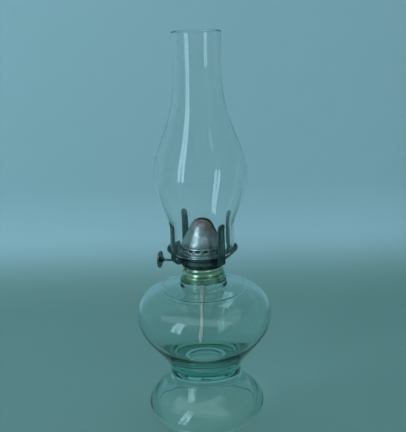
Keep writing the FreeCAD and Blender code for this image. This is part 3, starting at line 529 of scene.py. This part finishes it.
@dataclass(frozen=True)
class WovenCotton:
    """Flat-woven cotton wick: ribs along it, picks across it, painted shade between the threads,
    charred at the lit end.
    """

    name: str = "woven_cotton"
    fibre: Colour = (0.80, 0.74, 0.67)
    # darker colour of painted shade in the gaps between threads
    gap_shade: Colour = (0.50, 0.42, 0.36)
    char: Colour = (0.035, 0.03, 0.028)
    ribs: int = 22
    picks: int = 150
    char_from: float = 0.972

    def make(self) -> bpy.types.Material:
        """Build the material. Thread height is a sine across times a sine along the UV map; where
        it is low, the colour turns to painted shade.
        """
        m = Material(self.name)
        uv = m.node("ShaderNodeUVMap", {"uv_map": "UVMap"}, {}).outputs[0]
        across, along, _ = (Shade(m, o) for o in
                            m.node("ShaderNodeSeparateXYZ", {}, {0: uv}).outputs)
        rib = (across * (2 * math.pi * self.ribs)).sin()
        pick = (along * (2 * math.pi * self.picks) + rib * 1.2).sin()
        thread = rib * 0.3 + pick * 0.3 + 0.5
        fuzz = m.noise(0.5, 3.0, 0.6)
        soaked = m.noise(14.0, 2.0, 0.5).ramp(0.35, 0.75)
        # painted shade: low thread height blends towards the darker gap colour
        shaded_yarn = m.mix((thread + fuzz * 0.4 - 0.2).held(), self.gap_shade, self.fibre)
        wet = m.mix(soaked * 0.35, shaded_yarn, tuple(c * 0.75 for c in self.fibre))
        burnt = (along + fuzz * 0.01).ramp(self.char_from, self.char_from + 0.012)
        m.set(Base_Color=m.mix(burnt, wet, self.char), Roughness=0.9 - soaked * 0.15,
              Normal=m.bump(thread + fuzz * 0.6, 0.14))
        return m.material


@dataclass(frozen=True)
class CastMatte:
    """Matte moulded stuff, such as rubber or plaster, with pores."""

    name: str
    light: Colour
    dark: Colour
    roughness: float
    pore: float

    def make(self) -> bpy.types.Material:
        """Build the material."""
        m = Material(self.name)
        pores = m.noise(self.pore, 5.0, 0.65)
        m.set(Base_Color=m.mix(pores.ramp(0.3, 0.7), self.dark, self.light),
              Roughness=(pores * 0.15 + self.roughness).held(), Normal=m.bump(pores, 0.06))
        return m.material


@dataclass(frozen=True)
class StudioPaper:
    """Plain pale paper sweep, greener where it lies flat and clear seen from its back."""

    name: str = "studio_paper"
    flat: Colour = (0.28, 0.43, 0.39)
    upright: Colour = (0.62, 0.80, 0.86)
    speck: Colour = (0.3, 0.36, 0.36)
    turn_heights: tuple[float, float] = (2.0, 60.0)

    def make(self) -> bpy.types.Material:
        """Build the material."""
        m = Material(self.name)
        _, _, z = m.axes()
        mottle = m.noise(30.0, 3.0, 0.5)
        tone = m.mix(z.ramp(*self.turn_heights), self.flat, self.upright)
        m.set(Base_Color=m.mix(mottle * 0.06, tone, self.speck), Roughness=0.75)
        back = m.node("ShaderNodeNewGeometry", {}, {}).outputs["Backfacing"]
        clear = m.node("ShaderNodeBsdfTransparent", {}, {}).outputs[0]
        sided = m.node("ShaderNodeMixShader", {}, {0: back, 1: m.shader.outputs[0], 2: clear})
        m.tree.links.new(sided.outputs[0], m.output.inputs["Surface"])
        return m.material


class Finish(Enum):
    """The finishes by name."""

    FONT_GLASS = BlownGlass("font_glass_clear", (0.965, 0.99, 0.98), (0.28, 0.72, 0.62), 40.0,
                            0.16, 26.0, 0.05)
    CHIMNEY_GLASS = BlownGlass("chimney_glass_clear", (0.985, 0.995, 0.992), (0.4, 0.8, 0.7), 12.0,
                               0.14, 20.0, 0.03)
    COLLAR_BRASS = Sheetmetal("collar_brass", (0.56, 0.70, 0.50), (0.16, 0.28, 0.18),
                              (0.10, 0.09, 0.05), 0.64, 1.0, (0.16, 0.24), coat=0.5,
                              grain=9.0, relief=0.003)
    BLACKENED = Sheetmetal("blackened_brass", (0.09, 0.125, 0.14), (0.03, 0.045, 0.05),
                           (0.08, 0.055, 0.05), 0.60, 0.85, (0.28, 0.50))
    PLATED = Sheetmetal("plated_prong_steel", (0.17, 0.245, 0.23), (0.07, 0.11, 0.105),
                        (0.075, 0.05, 0.035), 0.64, 0.9, (0.28, 0.48), grain=4.0)
    WORN_BRASS = Sheetmetal("worn_brass", (0.42, 0.40, 0.26), (0.20, 0.21, 0.14),
                            (0.07, 0.05, 0.03), 0.58, 1.0, (0.25, 0.45), grain=3.0)
    WHEEL = Sheetmetal("thumb_wheel_metal", (0.16, 0.20, 0.19), (0.06, 0.085, 0.08),
                       (0.20, 0.16, 0.09), 0.62, 0.95, (0.25, 0.42), grain=3.0)
    PRONG = RibbedSteel()
    DEFLECTOR = HeatStained()
    COTTON = WovenCotton()
    RUBBER = CastMatte("gasket_rubber", (0.05, 0.05, 0.05), (0.025, 0.025, 0.025), 0.6, 1.2)
    PLASTER = CastMatte("collar_plaster", (0.80, 0.78, 0.71), (0.62, 0.59, 0.52), 0.8, 0.8)
    PAPER = StudioPaper()


@lru_cache(maxsize=None)
def material_of(finish: Finish) -> bpy.types.Material:
    """Build a finish once and return its material."""
    return finish.value.make()


def dress(piece: bpy.types.Object, finish: Finish) -> None:
    """Give a piece, new or from the frame, its finish."""
    material = material_of(finish)
    if piece.material_slots:
        for slot in piece.material_slots:
            slot.material = material
    else:
        piece.data.materials.append(material)


def dress_nodes(finish: Finish, *nodes: str) -> None:
    """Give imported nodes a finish."""
    for node in nodes:
        dress(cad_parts[node], finish)
        log.info("dressed %s", node)


def place_piece(piece: bpy.types.Object, body: str, slot: str, finish: Finish,
                *nodes: str) -> bpy.types.Object:
    """Dress a new piece, let it ride on a body and stand for the named nodes."""
    dress(piece, finish)
    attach(piece, body)
    if nodes:
        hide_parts(*nodes)
    log.info("built %s with %d faces", piece.name, len(piece.data.polygons))
    return piece


def drawing_waves(depth: float, seed: float, grow: tuple[float, float],
                  fade: tuple[float, float]) -> Ripple:
    """Slow unevenness of hand-drawn glass, kept inside the even shape.

    The radial shift is a sum of three sines of angle and height with different phases, scaled
    and lowered by depth. It fades out towards the axis and towards both ends.

    Args:
        depth: half the largest shift, in millimetres.
        seed: moves the phases, so that two pieces differ.
        grow: the heights where the waves start and where they are whole.
        fade: the heights where they stop being whole and where they end.

    Returns:
        The ripple function.
    """
    def ripple(angle: np.ndarray, height: np.ndarray, radius: np.ndarray) -> np.ndarray:
        """The shift at an angle, height and radius."""
        shift = (np.sin(2 * angle + height * 0.045 + seed)
                 + 0.6 * np.sin(3 * angle - height * 0.11 + 2.1 * seed)
                 + 0.35 * np.sin(5 * angle + height * 0.23 + 0.7 * seed))
        whole = (np.clip((height - grow[0]) / (grow[1] - grow[0]), 0, 1)
                 * np.clip((fade[1] - height) / (fade[1] - fade[0]), 0, 1))
        return (depth / 1.95 * shift * np.clip(radius / 12.0, 0, 1) - depth) * whole
    return ripple


# Sub-assemblies


@dataclass
class Font:
    """Glass font: hollow bell foot, waist, bowl, stepped shoulder and neck."""

    foot_radius: float = 51.5
    foot_rim_height: float = 6.0
    foot_edge: float = 1.8
    foot_contact: float = 4.0
    foot_wall: float = 5.0
    wall: float = 3.0
    neck_bore: float = 13.8
    neck_wall: float = 2.4
    neck_bulge: float = 3.4
    shoulder_step: float = 0.7
    shoulder_rise: float = 2.2
    ring_radius: float = 19.7
    ring_overhang: float = 1.0
    shoulder: tuple[float, float] = (36.0, 116.0)
    side: tuple = ((51.0, 13.0), (34.0, 24.0), (28.5, 43.5), (45.5, 64.5), (59.0, 81.0),
                   (59.5, 106.0), (42.0, 114.5))
    floor_rise: float = 3.5
    floor_thickness: float = 3.5
    reservoir_round: float = 6.5
    hollow_round: float = 8.0
    waves: float = 0.10
    waves_grow: tuple[float, float] = (0.0, 12.0)
    waves_fade: tuple[float, float] = (108.0, 118.0)

    def outline(self) -> Outline:
        """The section from the reservoir's floor, over the neck, to the foot's hollow."""
        neck_top = levels("font_glass")[1]
        collar_low = levels("collar")[0]
        waist, slope = self.side[2], self.side[1]
        floor = waist[1] + self.floor_rise
        hollow = floor - self.floor_thickness
        w = self.wall
        foot_outer = self.foot_radius - self.foot_edge
        foot_inner = foot_outer - self.foot_contact
        step = self.shoulder_step
        shoulder_r, shoulder_z = self.shoulder
        top, high, belly, low = self.side[6], self.side[5], self.side[4], self.side[3]
        reservoir = clamped_spline([
            (0.0, floor), (0.5 * waist[0], floor), (1.03 * waist[0], floor + self.reservoir_round),
            (low[0] - 0.8 * w, low[1] + 0.6 * w),
            (belly[0] - w, belly[1] + 0.4 * w), (high[0] - w, high[1] - 0.8 * w),
            (top[0] - 0.3 * w, top[1] - w), (shoulder_r - step, shoulder_z - w)], 90)
        neck_outer = self.neck_bore + self.neck_wall
        collar_r = self.ring_radius - self.ring_overhang
        ring_low = shoulder_z + step + self.shoulder_rise
        neck = rounded([
            (shoulder_r - step, shoulder_z - w), (self.neck_bore + 5, shoulder_z - 0.3 * w),
            (self.neck_bore + self.neck_bulge, shoulder_z + 2.0),
            (self.neck_bore + self.neck_bulge, collar_low - 1.6),
            (self.neck_bore, collar_low + 0.8), (self.neck_bore, neck_top),
            (neck_outer, neck_top), (neck_outer, collar_low), (collar_r - 0.4, collar_low),
            (self.ring_radius + 0.1, collar_low - 0.4), (self.ring_radius + 0.2, ring_low + 0.9),
            (self.ring_radius + 0.7, ring_low), (shoulder_r - step, shoulder_z + step),
            (shoulder_r, shoulder_z)], 0.9, closed=False, count=7)
        body = clamped_spline([(shoulder_r, shoulder_z), *reversed(self.side),
                               (self.foot_radius, self.foot_rim_height)], 130)
        rim = clamped_spline([(self.foot_radius, self.foot_rim_height),
                              (self.foot_radius - 0.2, 1.0), (foot_outer, 0.0)], 9)
        lip = clamped_spline([(foot_inner, 0.0), (foot_inner - 0.3, 0.4),
                              (foot_inner - 0.5, 2.0)], 5)
        under = clamped_spline([
            (foot_inner - 0.5, 2.0), (foot_inner, self.side[0][1] - 0.4 * self.foot_wall),
            (slope[0] - self.foot_wall, slope[1] - 0.6 * self.foot_wall),
            (waist[0] - 0.5 * self.foot_wall, hollow - self.hollow_round), (0.5 * waist[0], hollow),
            (0.0, hollow)], 60)
        return joined(reservoir, neck, body, rim, lip, under)

    def build(self) -> None:
        """Build the glass and dress the collar's plaster."""
        waves = drawing_waves(self.waves, 1.3, self.waves_grow, self.waves_fade)
        glass = lathe("font_glass_blown", self.outline(), 160, waves, sharp=60)
        glass.visible_shadow = False
        place_piece(glass, "font", "clear_glass", Finish.FONT_GLASS, "font_glass")
        dress_nodes(Finish.PLASTER, "collar_cement")


@dataclass
class Collar:
    """Rolled brass collar whose sheet follows the thread inside and out."""

    band_radius: float = 18.7
    band_inner: float = 17.9
    band_height: float = 5.6
    bore: float = 16.5
    sheet: float = 0.6
    pitch: float = 4.2
    depth: float = 0.75
    start_height: float = 130.0
    start_angle: float = 205.0
    columns: int = 160
    rows: int = 84

    def ridge(self, angle: np.ndarray, height: np.ndarray) -> np.ndarray:
        """Height of the rolled ridge, from 0 to 1.

        It is a raised cosine of the distance from the helix, which climbs one pitch each turn,
        faded in over the first tenth of a turn.
        """
        turns = ((np.degrees(angle) - self.start_angle) % 360) / 360
        axial = (height - self.start_height) / self.pitch - turns
        near = np.round(axial)
        away = np.abs(axial - near)
        wave = 0.5 + 0.5 * np.cos(np.clip(away / 0.5, 0, 1) * math.pi)
        return wave ** 1.3 * (near >= -0.5) * np.clip((near + turns) * 8 + 0.3, 0, 1)

    def build(self) -> None:
        """Build the collar as one closed skin: outside up, inside down."""
        low, high = levels("collar")
        band_top = low + self.band_height
        angles = full_turn(self.columns)
        climb = np.linspace(band_top, high, self.rows)
        outside = joined(rounded([(self.band_inner, low), (self.band_radius - 0.3, low),
                                  (self.band_radius, low + 0.3), (self.band_radius, band_top - 0.7),
                                  (self.bore + self.sheet + 0.8, band_top - 0.1)], 0.5, False))
        rolled = np.stack([np.full(self.rows, self.bore + self.sheet), climb], -1)
        inner = np.stack([np.full(self.rows, self.bore), climb[::-1]], -1)
        step = np.array([[self.bore, band_top - 1.0], [self.band_inner, band_top - 1.0]])
        outline = np.concatenate([outside, rolled, inner, step])
        grid = turned(outline, angles)
        around = np.repeat(angles[None, :], len(outline), 0)
        radius = np.hypot(grid[..., 0], grid[..., 1])
        first = len(outside)
        threaded = np.zeros(len(outline))
        threaded[first:first + 2 * self.rows] = self.depth
        radius += threaded[:, None] * self.ridge(around, grid[..., 2])
        grid[..., 0] = radius * np.cos(around)
        grid[..., 1] = radius * np.sin(around)
        piece = grid_object("collar_rolled", grid, wrap_rows=True, wrap_columns=True, sharp=50)
        place_piece(piece, "font", "lacquered_brass", Finish.COLLAR_BRASS, "collar")


class BurnerCup:
    """Blackened cup with its rolled rim, and the plain burner pieces in and under it."""

    def build(self) -> None:
        """Dress the nodes; the cup's bores and floor stay as they are in the frame."""
        dress_nodes(Finish.BLACKENED, "burner_cup", "air_plate")
        dress_nodes(Finish.WORN_BRASS, "screw_skirt", "wick_tube", "shaft_bush_left",
                    "shaft_bush_right", "prong_rivets")
        dress_nodes(Finish.RUBBER, "burner_gasket")


@dataclass
class ChimneyHolder:
    """Four ribbed spring prongs; the band and its two flared seats are the frame's own."""

    sheet: float = 0.7
    foot: float = 18.1
    blade: float = 27.6
    width: float = 7.5
    tip_width: float = 6.0
    flare: float = 2.0
    tip_height: float = 6.2
    blade_height: float = 23.2
    shelf_top: float = 2.3
    knee: float = 3.5
    rib_depth: float = 0.45
    rib_spacing: float = 1.9
    rib_half: float = 0.75
    rib_run: tuple[float, float] = (0.36, 0.90)
    rib_fade: float = 14.0
    round_tip: float = 3.0
    fine_tip: float = 3.2
    azimuths: dict = field(default_factory=lambda: {
        "front_right": -43, "back_right": 43, "back_left": 137, "front_left": -137})

    def strip(self) -> np.ndarray:
        """The blade's grid at azimuth 0, its inner face on the path.

        The path runs up the foot, out along the shelf, up the blade and out at the flare. Each
        row crosses it: half the width times the across parameter along Y, and the ribs' raised
        cosines outwards. Towards the tip the half width follows a quarter circle.
        """
        low, high = levels("prong_front_right")
        chimney_low = levels("chimney")[0]
        shelf = low + self.shelf_top
        top = chimney_low + self.blade_height
        bent = rounded([(self.foot, low), (self.foot, shelf), (self.blade, shelf),
                        (self.blade, top)], self.knee, closed=False, count=14)
        curl = clamped_spline([(self.blade, top), (self.blade, top + 0.4 * self.tip_height),
                               (self.blade + self.flare, high)], 12)
        path = joined(bent, curl)
        length = np.concatenate([[0], np.cumsum(np.linalg.norm(np.diff(path, axis=0), axis=1))])
        fine = length[-1] - self.fine_tip
        closer = np.sin(np.linspace(0.08, 1, 14) * math.pi / 2)
        even = np.concatenate([np.linspace(0, fine, 70), fine + self.fine_tip * closer])
        path = np.stack([np.interp(even, length, path[:, i]) for i in (0, 1)], -1)
        along = even / length[-1]
        slope = np.gradient(path, axis=0)
        slope /= np.linalg.norm(slope, axis=1)[:, None]
        outward = np.stack([slope[:, 1], -slope[:, 0]], -1)
        half = np.interp(along, [0, 0.25, 1], [self.width / 2, self.width / 2, self.tip_width / 2])
        left = np.clip((length[-1] - even) / self.round_tip, 0, 1)
        half = half * np.sqrt(np.clip(1 - (1 - left) ** 2, 0.004, 1))
        across = np.linspace(-1, 1, 41)
        side = half[:, None] * across[None, :]
        ribs = sum(np.clip(1 - np.abs(side - place * self.rib_spacing) / self.rib_half, 0, 1)
                   for place in (-1, 0, 1))
        first, last = self.rib_run
        ribbed = (np.clip((along - first) * self.rib_fade, 0, 1)
                  * np.clip((last - along) * self.rib_fade, 0, 1))
        crest = 0.5 - 0.5 * np.cos(np.clip(ribs, 0, 1) * math.pi)
        lift = self.rib_depth * crest * ribbed[:, None]
        radius = path[:, 0, None] + lift * outward[:, 0, None]
        height = path[:, 1, None] + lift * outward[:, 1, None]
        return np.stack([radius, side, height], -1)

    def build(self) -> None:
        """Build the prongs and dress the band."""
        grid = self.strip()
        for side, azimuth in self.azimuths.items():
            angle = math.radians(azimuth)
            turn = np.array([[math.cos(angle), math.sin(angle), 0],
                             [-math.sin(angle), math.cos(angle), 0], [0, 0, 1]])
            name = f"prong_{side}"
            piece = grid_object(f"{name}_ribbed", grid @ turn, sharp=60, uv=True)
            face_outwards(piece)
            thicken(piece, self.sheet, offset=1.0)
            place_piece(piece, "burner", "dark_steel", Finish.PRONG, name)
        dress_nodes(Finish.PLATED, "chimney_holder")


class WickRaiser:
    """Shaft, feed wheels and thumb wheel of the raiser."""

    def build(self) -> None:
        """Dress the raiser's nodes."""
        dress_nodes(Finish.WHEEL, "thumb_wheel", "raiser_shaft")
        dress_nodes(Finish.PLATED, "shaft_ring", "feed_wheel_1", "feed_wheel_2", "feed_wheel_3",
                    "feed_wheel_4")


@dataclass
class Wick:
    """Flat woven wick with a twist under the tube and a loose tail."""

    width: float = 16.0
    thickness: float = 2.5
    straight_length: float = 42.5
    twist_length: float = 9.0
    twist: float = 72.0
    kink: float = 0.8
    lean: float = 4.5
    frayed: float = 3.0
    fray_share: float = 0.05
    flat_power: float = 0.35
    edge_power: float = 0.8
    rows: int = 260
    columns: int = 56

    def build(self) -> None:
        """Build the ribbon.

        Each row is a stadium: width along the row's own direction, thickness across it, both
        from a superellipse of the column's angle. The direction turns by the twist below the
        tube, and the tail bends by a few sines.
        """
        low, high = levels("wick")
        height = np.linspace(low, high, self.rows)
        below = np.clip((high - self.straight_length - height) / self.twist_length, 0, 1)
        angle = -math.radians(self.twist) * (3 * below ** 2 - 2 * below ** 3)
        tail = high - self.straight_length - self.twist_length - low
        hang = np.clip((low + tail - height) / tail, 0, 1)
        shift = -self.kink * np.sin(hang * math.pi * 2) * np.clip(hang * 3, 0, 1) - self.lean * hang
        narrow = 1 - self.fray_share * np.clip((low + self.frayed - height) / self.frayed, 0, 1)
        around = full_turn(self.columns)
        flat = np.sign(np.cos(around)) * np.abs(np.cos(around)) ** self.flat_power
        thick = np.sign(np.sin(around)) * np.abs(np.sin(around)) ** self.edge_power
        a = 0.5 * self.width * narrow[:, None] * flat[None, :]
        b = 0.5 * self.thickness * narrow[:, None] * thick[None, :]
        x = a * np.cos(angle)[:, None] - b * np.sin(angle)[:, None] + shift[:, None]
        y = a * np.sin(angle)[:, None] + b * np.cos(angle)[:, None]
        z = np.repeat(height[:, None], self.columns, 1)
        grid = np.stack([x, y, z], -1)
        seam = np.concatenate([grid, grid[:, :1]], 1)
        piece = grid_object("wick_woven", seam, sharp=60, uv=True, weld=True)
        place_piece(piece, "wick", "cotton", Finish.COTTON, "wick")


@dataclass
class Deflector:
    """Domed deflector: rim, slit band, bell and flame slot, in one thin sheet."""

    sheet: float = 0.5
    cup_inner: float = 16.8
    spigot_gap: float = 0.3
    spigot_depth: float = 1.4
    rim: float = 17.8
    rim_thickness: float = 0.7
    band_radius: float = 17.2
    band_height: float = 7.0
    band_inset: float = 0.4
    bell: tuple = ((17.2, 11.0), (12.4, 16.5), (9.8, 25.0), (6.0, 29.6))
    height: float = 29.4
    slit_length: float = 3.6
    slit_height: float = 2.1
    slit_place: float = 4.8
    slits: int = 16
    slot_width: float = 5.5
    slot_from: float = 18.7

    def build(self) -> None:
        """Build the sheet's outer skin, cut slits and slot, and give it its wall.

        Slits fall between rows and columns of the grid, whose faces there are taken out. The
        slot is cut along three planes.
        """
        low = levels("burner_cup")[1]
        slit_low = self.slit_place - self.slit_height / 2
        slit_high = self.slit_place + self.slit_height / 2
        spigot = self.cup_inner - self.spigot_gap
        flange = self.rim_thickness
        foot = rounded([(spigot, -self.spigot_depth), (spigot, 0.02), (self.rim, 0.02),
                        (self.rim + 0.15, flange / 2), (self.rim, flange),
                        (self.band_radius, flange + 0.02)], 0.25, closed=False, count=5)
        band = np.array([(self.band_radius, z) for z in
                         (1.2, 2.4, slit_low, self.slit_place, slit_high, self.band_height - 0.9)])
        shoulder = clamped_spline([(self.band_radius, self.band_height - 0.7),
                                   (self.band_radius - 0.1, self.band_height - 0.1),
                                   (self.band_radius - self.band_inset, self.band_height)], 6)
        bell = clamped_spline([(self.band_radius - self.band_inset, self.band_height), *self.bell,
                               (0.02, self.height)], 60)
        outline = joined(foot, band, shoulder, bell)
        outline[:, 1] += low
        half = math.asin(self.slit_length / 2 / self.band_radius)
        period = 2 * math.pi / self.slits
        cell = np.concatenate([np.linspace(-half, half, 5),
                               np.linspace(half, period - half, 4)[1:-1]])
        angles = (cell[None, :] + np.arange(self.slits)[:, None] * period).ravel()
        grid = turned(outline, angles)
        piece = grid_object("deflector_pressed", grid, wrap_columns=True, sharp=50)
        self.cut(piece, low, low + slit_low, low + slit_high, half, period)
        face_outwards(piece)
        thicken(piece, self.sheet)
        place_piece(piece, "deflector", "bright_steel", Finish.DEFLECTOR, "deflector")

    def cut(self, piece: bpy.types.Object, low: float, slit_low: float, slit_high: float,
            half: float, period: float) -> None:
        """Take out the slits' faces and the slot between its planes."""
        work = bmesh.new()
        work.from_mesh(piece.data)
        bmesh.ops.remove_doubles(work, verts=work.verts, dist=2e-5)
        side = self.slot_width / 2 * MM
        base = (low + self.slot_from) * MM
        for point, direction in (((0, side, 0), (0, 1, 0)), ((0, -side, 0), (0, 1, 0)),
                                 ((0, 0, base), (0, 0, 1))):
            parts = work.verts[:] + work.edges[:] + work.faces[:]
            bmesh.ops.bisect_plane(work, geom=parts, plane_co=point, plane_no=direction,
                                   dist=1e-7)
        gone = []
        for face in work.faces:
            middle = face.calc_center_median()
            in_slot = abs(middle.y) < side and middle.z > base
            turn = math.atan2(middle.y, middle.x) % period
            between = min(turn, period - turn) < half
            in_slit = slit_low * MM < middle.z < slit_high * MM and between
            if in_slot or in_slit:
                gone.append(face)
        bmesh.ops.delete(work, geom=gone, context="FACES")
        work.to_mesh(piece.data)
        work.free()
        piece.data.set_sharp_from_angle(angle=math.radians(50))


def face_outwards(piece: bpy.types.Object) -> None:
    """Flip an open sheet if its faces, taken together, look towards the lamp's axis."""
    mesh = piece.data
    normals = np.empty(len(mesh.polygons) * 3)
    middles = np.empty(len(mesh.polygons) * 3)
    mesh.polygons.foreach_get("normal", normals)
    mesh.polygons.foreach_get("center", middles)
    away = middles.reshape(-1, 3) * np.array([1.0, 1.0, 0.0])
    if (normals.reshape(-1, 3) * away).sum() < 0:
        mesh.flip_normals()


@dataclass
class Chimney:
    """Glass chimney with fire-polished ends."""

    base: float = 27.3
    wall: float = 1.8
    mouth: float = 19.5
    side: tuple = ((27.0, 19.5), (25.5, 25.5), (43.5, 59.0), (33.0, 91.5), (21.5, 117.5),
                   (18.5, 150.0), (19.5, 169.5))
    waves: float = 0.09
    waves_grow: tuple[float, float] = (28.0, 43.0)
    waves_fade: float = 8.0

    def build(self) -> None:
        """Build the wall as one closed outline: up outside, over the lip, down inside."""
        low, high = levels("chimney")
        lip = self.wall / 2
        tall = high - low
        outer = clamped_spline([(self.base, lip), *self.side, (self.mouth, tall - lip)], 150)
        top = clamped_spline([(self.mouth, tall - lip), (self.mouth, tall),
                              (self.mouth - lip, tall)], 6)
        top_in = clamped_spline([(self.mouth - lip, tall), (self.mouth - self.wall, tall),
                                 (self.mouth - self.wall, tall - lip)], 6)
        inner = clamped_spline([(self.mouth - self.wall, tall - lip),
                                *((r - self.wall, z) for r, z in reversed(self.side)),
                                (self.base - self.wall, lip)], 150)
        foot = clamped_spline([(self.base - self.wall, lip), (self.base - self.wall, 0.0),
                               (self.base - lip, 0.0)], 6)
        foot_out = clamped_spline([(self.base - lip, 0.0), (self.base, 0.0), (self.base, lip)], 6)
        outline = joined(outer, top, top_in, inner, foot, foot_out)[:-1]
        outline[:, 1] += low
        start, whole = self.waves_grow
        waves = drawing_waves(self.waves, 4.2, (low + start, low + whole),
                              (high - self.waves_fade, high))
        glass = lathe("chimney_blown", outline, 144, waves, sharp=60)
        glass.visible_shadow = False
        place_piece(glass, "chimney", "clear_glass", Finish.CHIMNEY_GLASS, "chimney")


@dataclass
class Studio:
    """Paper sweep, soft lights and the camera."""

    azimuth: float = 13.5
    distance: float = 561.5
    height: float = 352.6
    pitch: float = 17.15
    roll: float = 1.74
    focal_pixels: float = 700.0
    frame_height: int = 432
    axis_pixels: float = 1.5
    bend_start: float = 210.0
    bend_radius: float = 120.0
    sweep_width: float = 4000.0
    sweep_near: float = -3000.0
    wall_top: float = 2600.0
    lit_height: float = 170.0
    cool: Colour = (0.60, 0.86, 1.0)
    top_light: Colour = (0.66, 0.90, 0.96)
    sky: Colour = (0.42, 0.72, 0.82)
    sky_strength: float = 0.35

    def bearing(self, azimuth: float) -> np.ndarray:
        """The level direction from the lamp at an azimuth, 0 towards -Y and 90 towards +X."""
        angle = math.radians(azimuth)
        return np.array([math.sin(angle), -math.cos(angle), 0.0])

    def sweep(self) -> None:
        """Lay the paper: flat, a quarter circle up, then upright, square to the camera."""
        turn = np.linspace(0, math.pi / 2, 24)
        flat = straight((self.sweep_near, 0.0), (self.bend_start, 0.0), 4)
        bend = np.stack([self.bend_start + self.bend_radius * np.sin(turn),
                         self.bend_radius * (1 - np.cos(turn))], -1)
        wall = straight((self.bend_start + self.bend_radius, self.bend_radius),
                        (self.bend_start + self.bend_radius, self.wall_top), 3)
        run = joined(flat, bend, wall)
        right = np.cross(-self.bearing(self.azimuth), UP)
        back = -self.bearing(self.azimuth)
        across = np.linspace(-self.sweep_width / 2, self.sweep_width / 2, 3)
        grid = (run[:, 0, None, None] * back + run[:, 1, None, None] * UP
                + across[None, :, None] * right)
        paper = grid_object("paper_sweep", grid, sharp=60)
        if paper.data.polygons[0].normal.z < 0:
            paper.data.flip_normals()
        dress(paper, Finish.PAPER)

    def light(self, name: str, azimuth: float, elevation: float, distance: float,
              size: tuple[float, float], power: float, colour: Colour) -> None:
        """Set an area light that looks at the lamp's middle.

        Args:
            name: the light's name.
            azimuth: degrees from the camera's azimuth, positive to its right.
            elevation: degrees above the horizon.
            distance: millimetres from the lamp's middle.
            size: width and height in millimetres.
            power: watts.
            colour: linear colour.
        """
        data = bpy.data.lights.new(name, "AREA")
        data.shape = "RECTANGLE"
        data.size, data.size_y = (side * MM for side in size)
        data.energy = power
        data.color = colour
        lamp = bpy.data.objects.new(name, data)
        bpy.context.scene.collection.objects.link(lamp)
        level = self.bearing(self.azimuth + azimuth)
        rise = math.radians(elevation)
        middle = self.lit_height * UP
        place = middle + distance * (level * math.cos(rise) + UP * math.sin(rise))
        lamp.location = Vector(place * MM)
        lamp.rotation_euler = Vector(middle - place).to_track_quat("-Z", "Y").to_euler()

    def camera(self) -> None:
        """Set the camera: right and up turned by the roll about the line of sight."""
        level = self.bearing(self.azimuth)
        down = math.radians(self.pitch)
        forward = -level * math.cos(down) - UP * math.sin(down)
        right = np.cross(forward, UP)
        right /= np.linalg.norm(right)
        over = np.cross(right, forward)
        roll = math.radians(self.roll)
        turned_right = right * math.cos(roll) - over * math.sin(roll)
        turned_up = right * math.sin(roll) + over * math.cos(roll)
        data = bpy.data.cameras.new("camera")
        data.sensor_width = 36.0
        data.lens = self.focal_pixels / self.frame_height * data.sensor_width
        data.shift_x = self.axis_pixels / self.frame_height
        data.clip_end = 20.0
        camera = bpy.data.objects.new("camera", data)
        bpy.context.scene.collection.objects.link(camera)
        matrix = Matrix([[*column] for column in np.stack([turned_right, turned_up, -forward], 1)])
        place = Vector((level * self.distance + UP * self.height) * MM)
        camera.matrix_world = Matrix.Translation(place) @ matrix.to_4x4()
        bpy.context.scene.camera = camera

    def build(self) -> None:
        """Set up the paper, the lights, the sky and the camera."""
        self.sweep()
        self.camera()
        for side, bearing in (("left", -52.8), ("right", -43.2)):
            self.light(f"strip_{side}", bearing, 20.0, 1500.0, (190.0, 1300.0), 2.7, self.cool)
        self.light("soft_top", -22.0, 60.0, 1600.0, (4200.0, 800.0), 8.5, self.top_light)
        world = bpy.data.worlds.new("sky")
        world.use_nodes = True
        sky = world.node_tree.nodes["Background"]
        sky.inputs[0].default_value = (*self.sky, 1.0)
        sky.inputs[1].default_value = self.sky_strength
        bpy.context.scene.world = world
        bpy.context.scene.view_settings.view_transform = "Standard"


def main() -> None:
    """Build the lamp from the foot up, then the studio."""
    logging.basicConfig(level=logging.INFO, format="%(name)s: %(message)s")
    for part in (Font(), Collar(), BurnerCup(), ChimneyHolder(), WickRaiser(), Wick(),
                 Deflector(), Chimney(), Studio()):
        part.build()
        log.info("%s is done", type(part).__name__)
    bpy.context.view_layer.update()


if __name__ == "__main__":
    main()
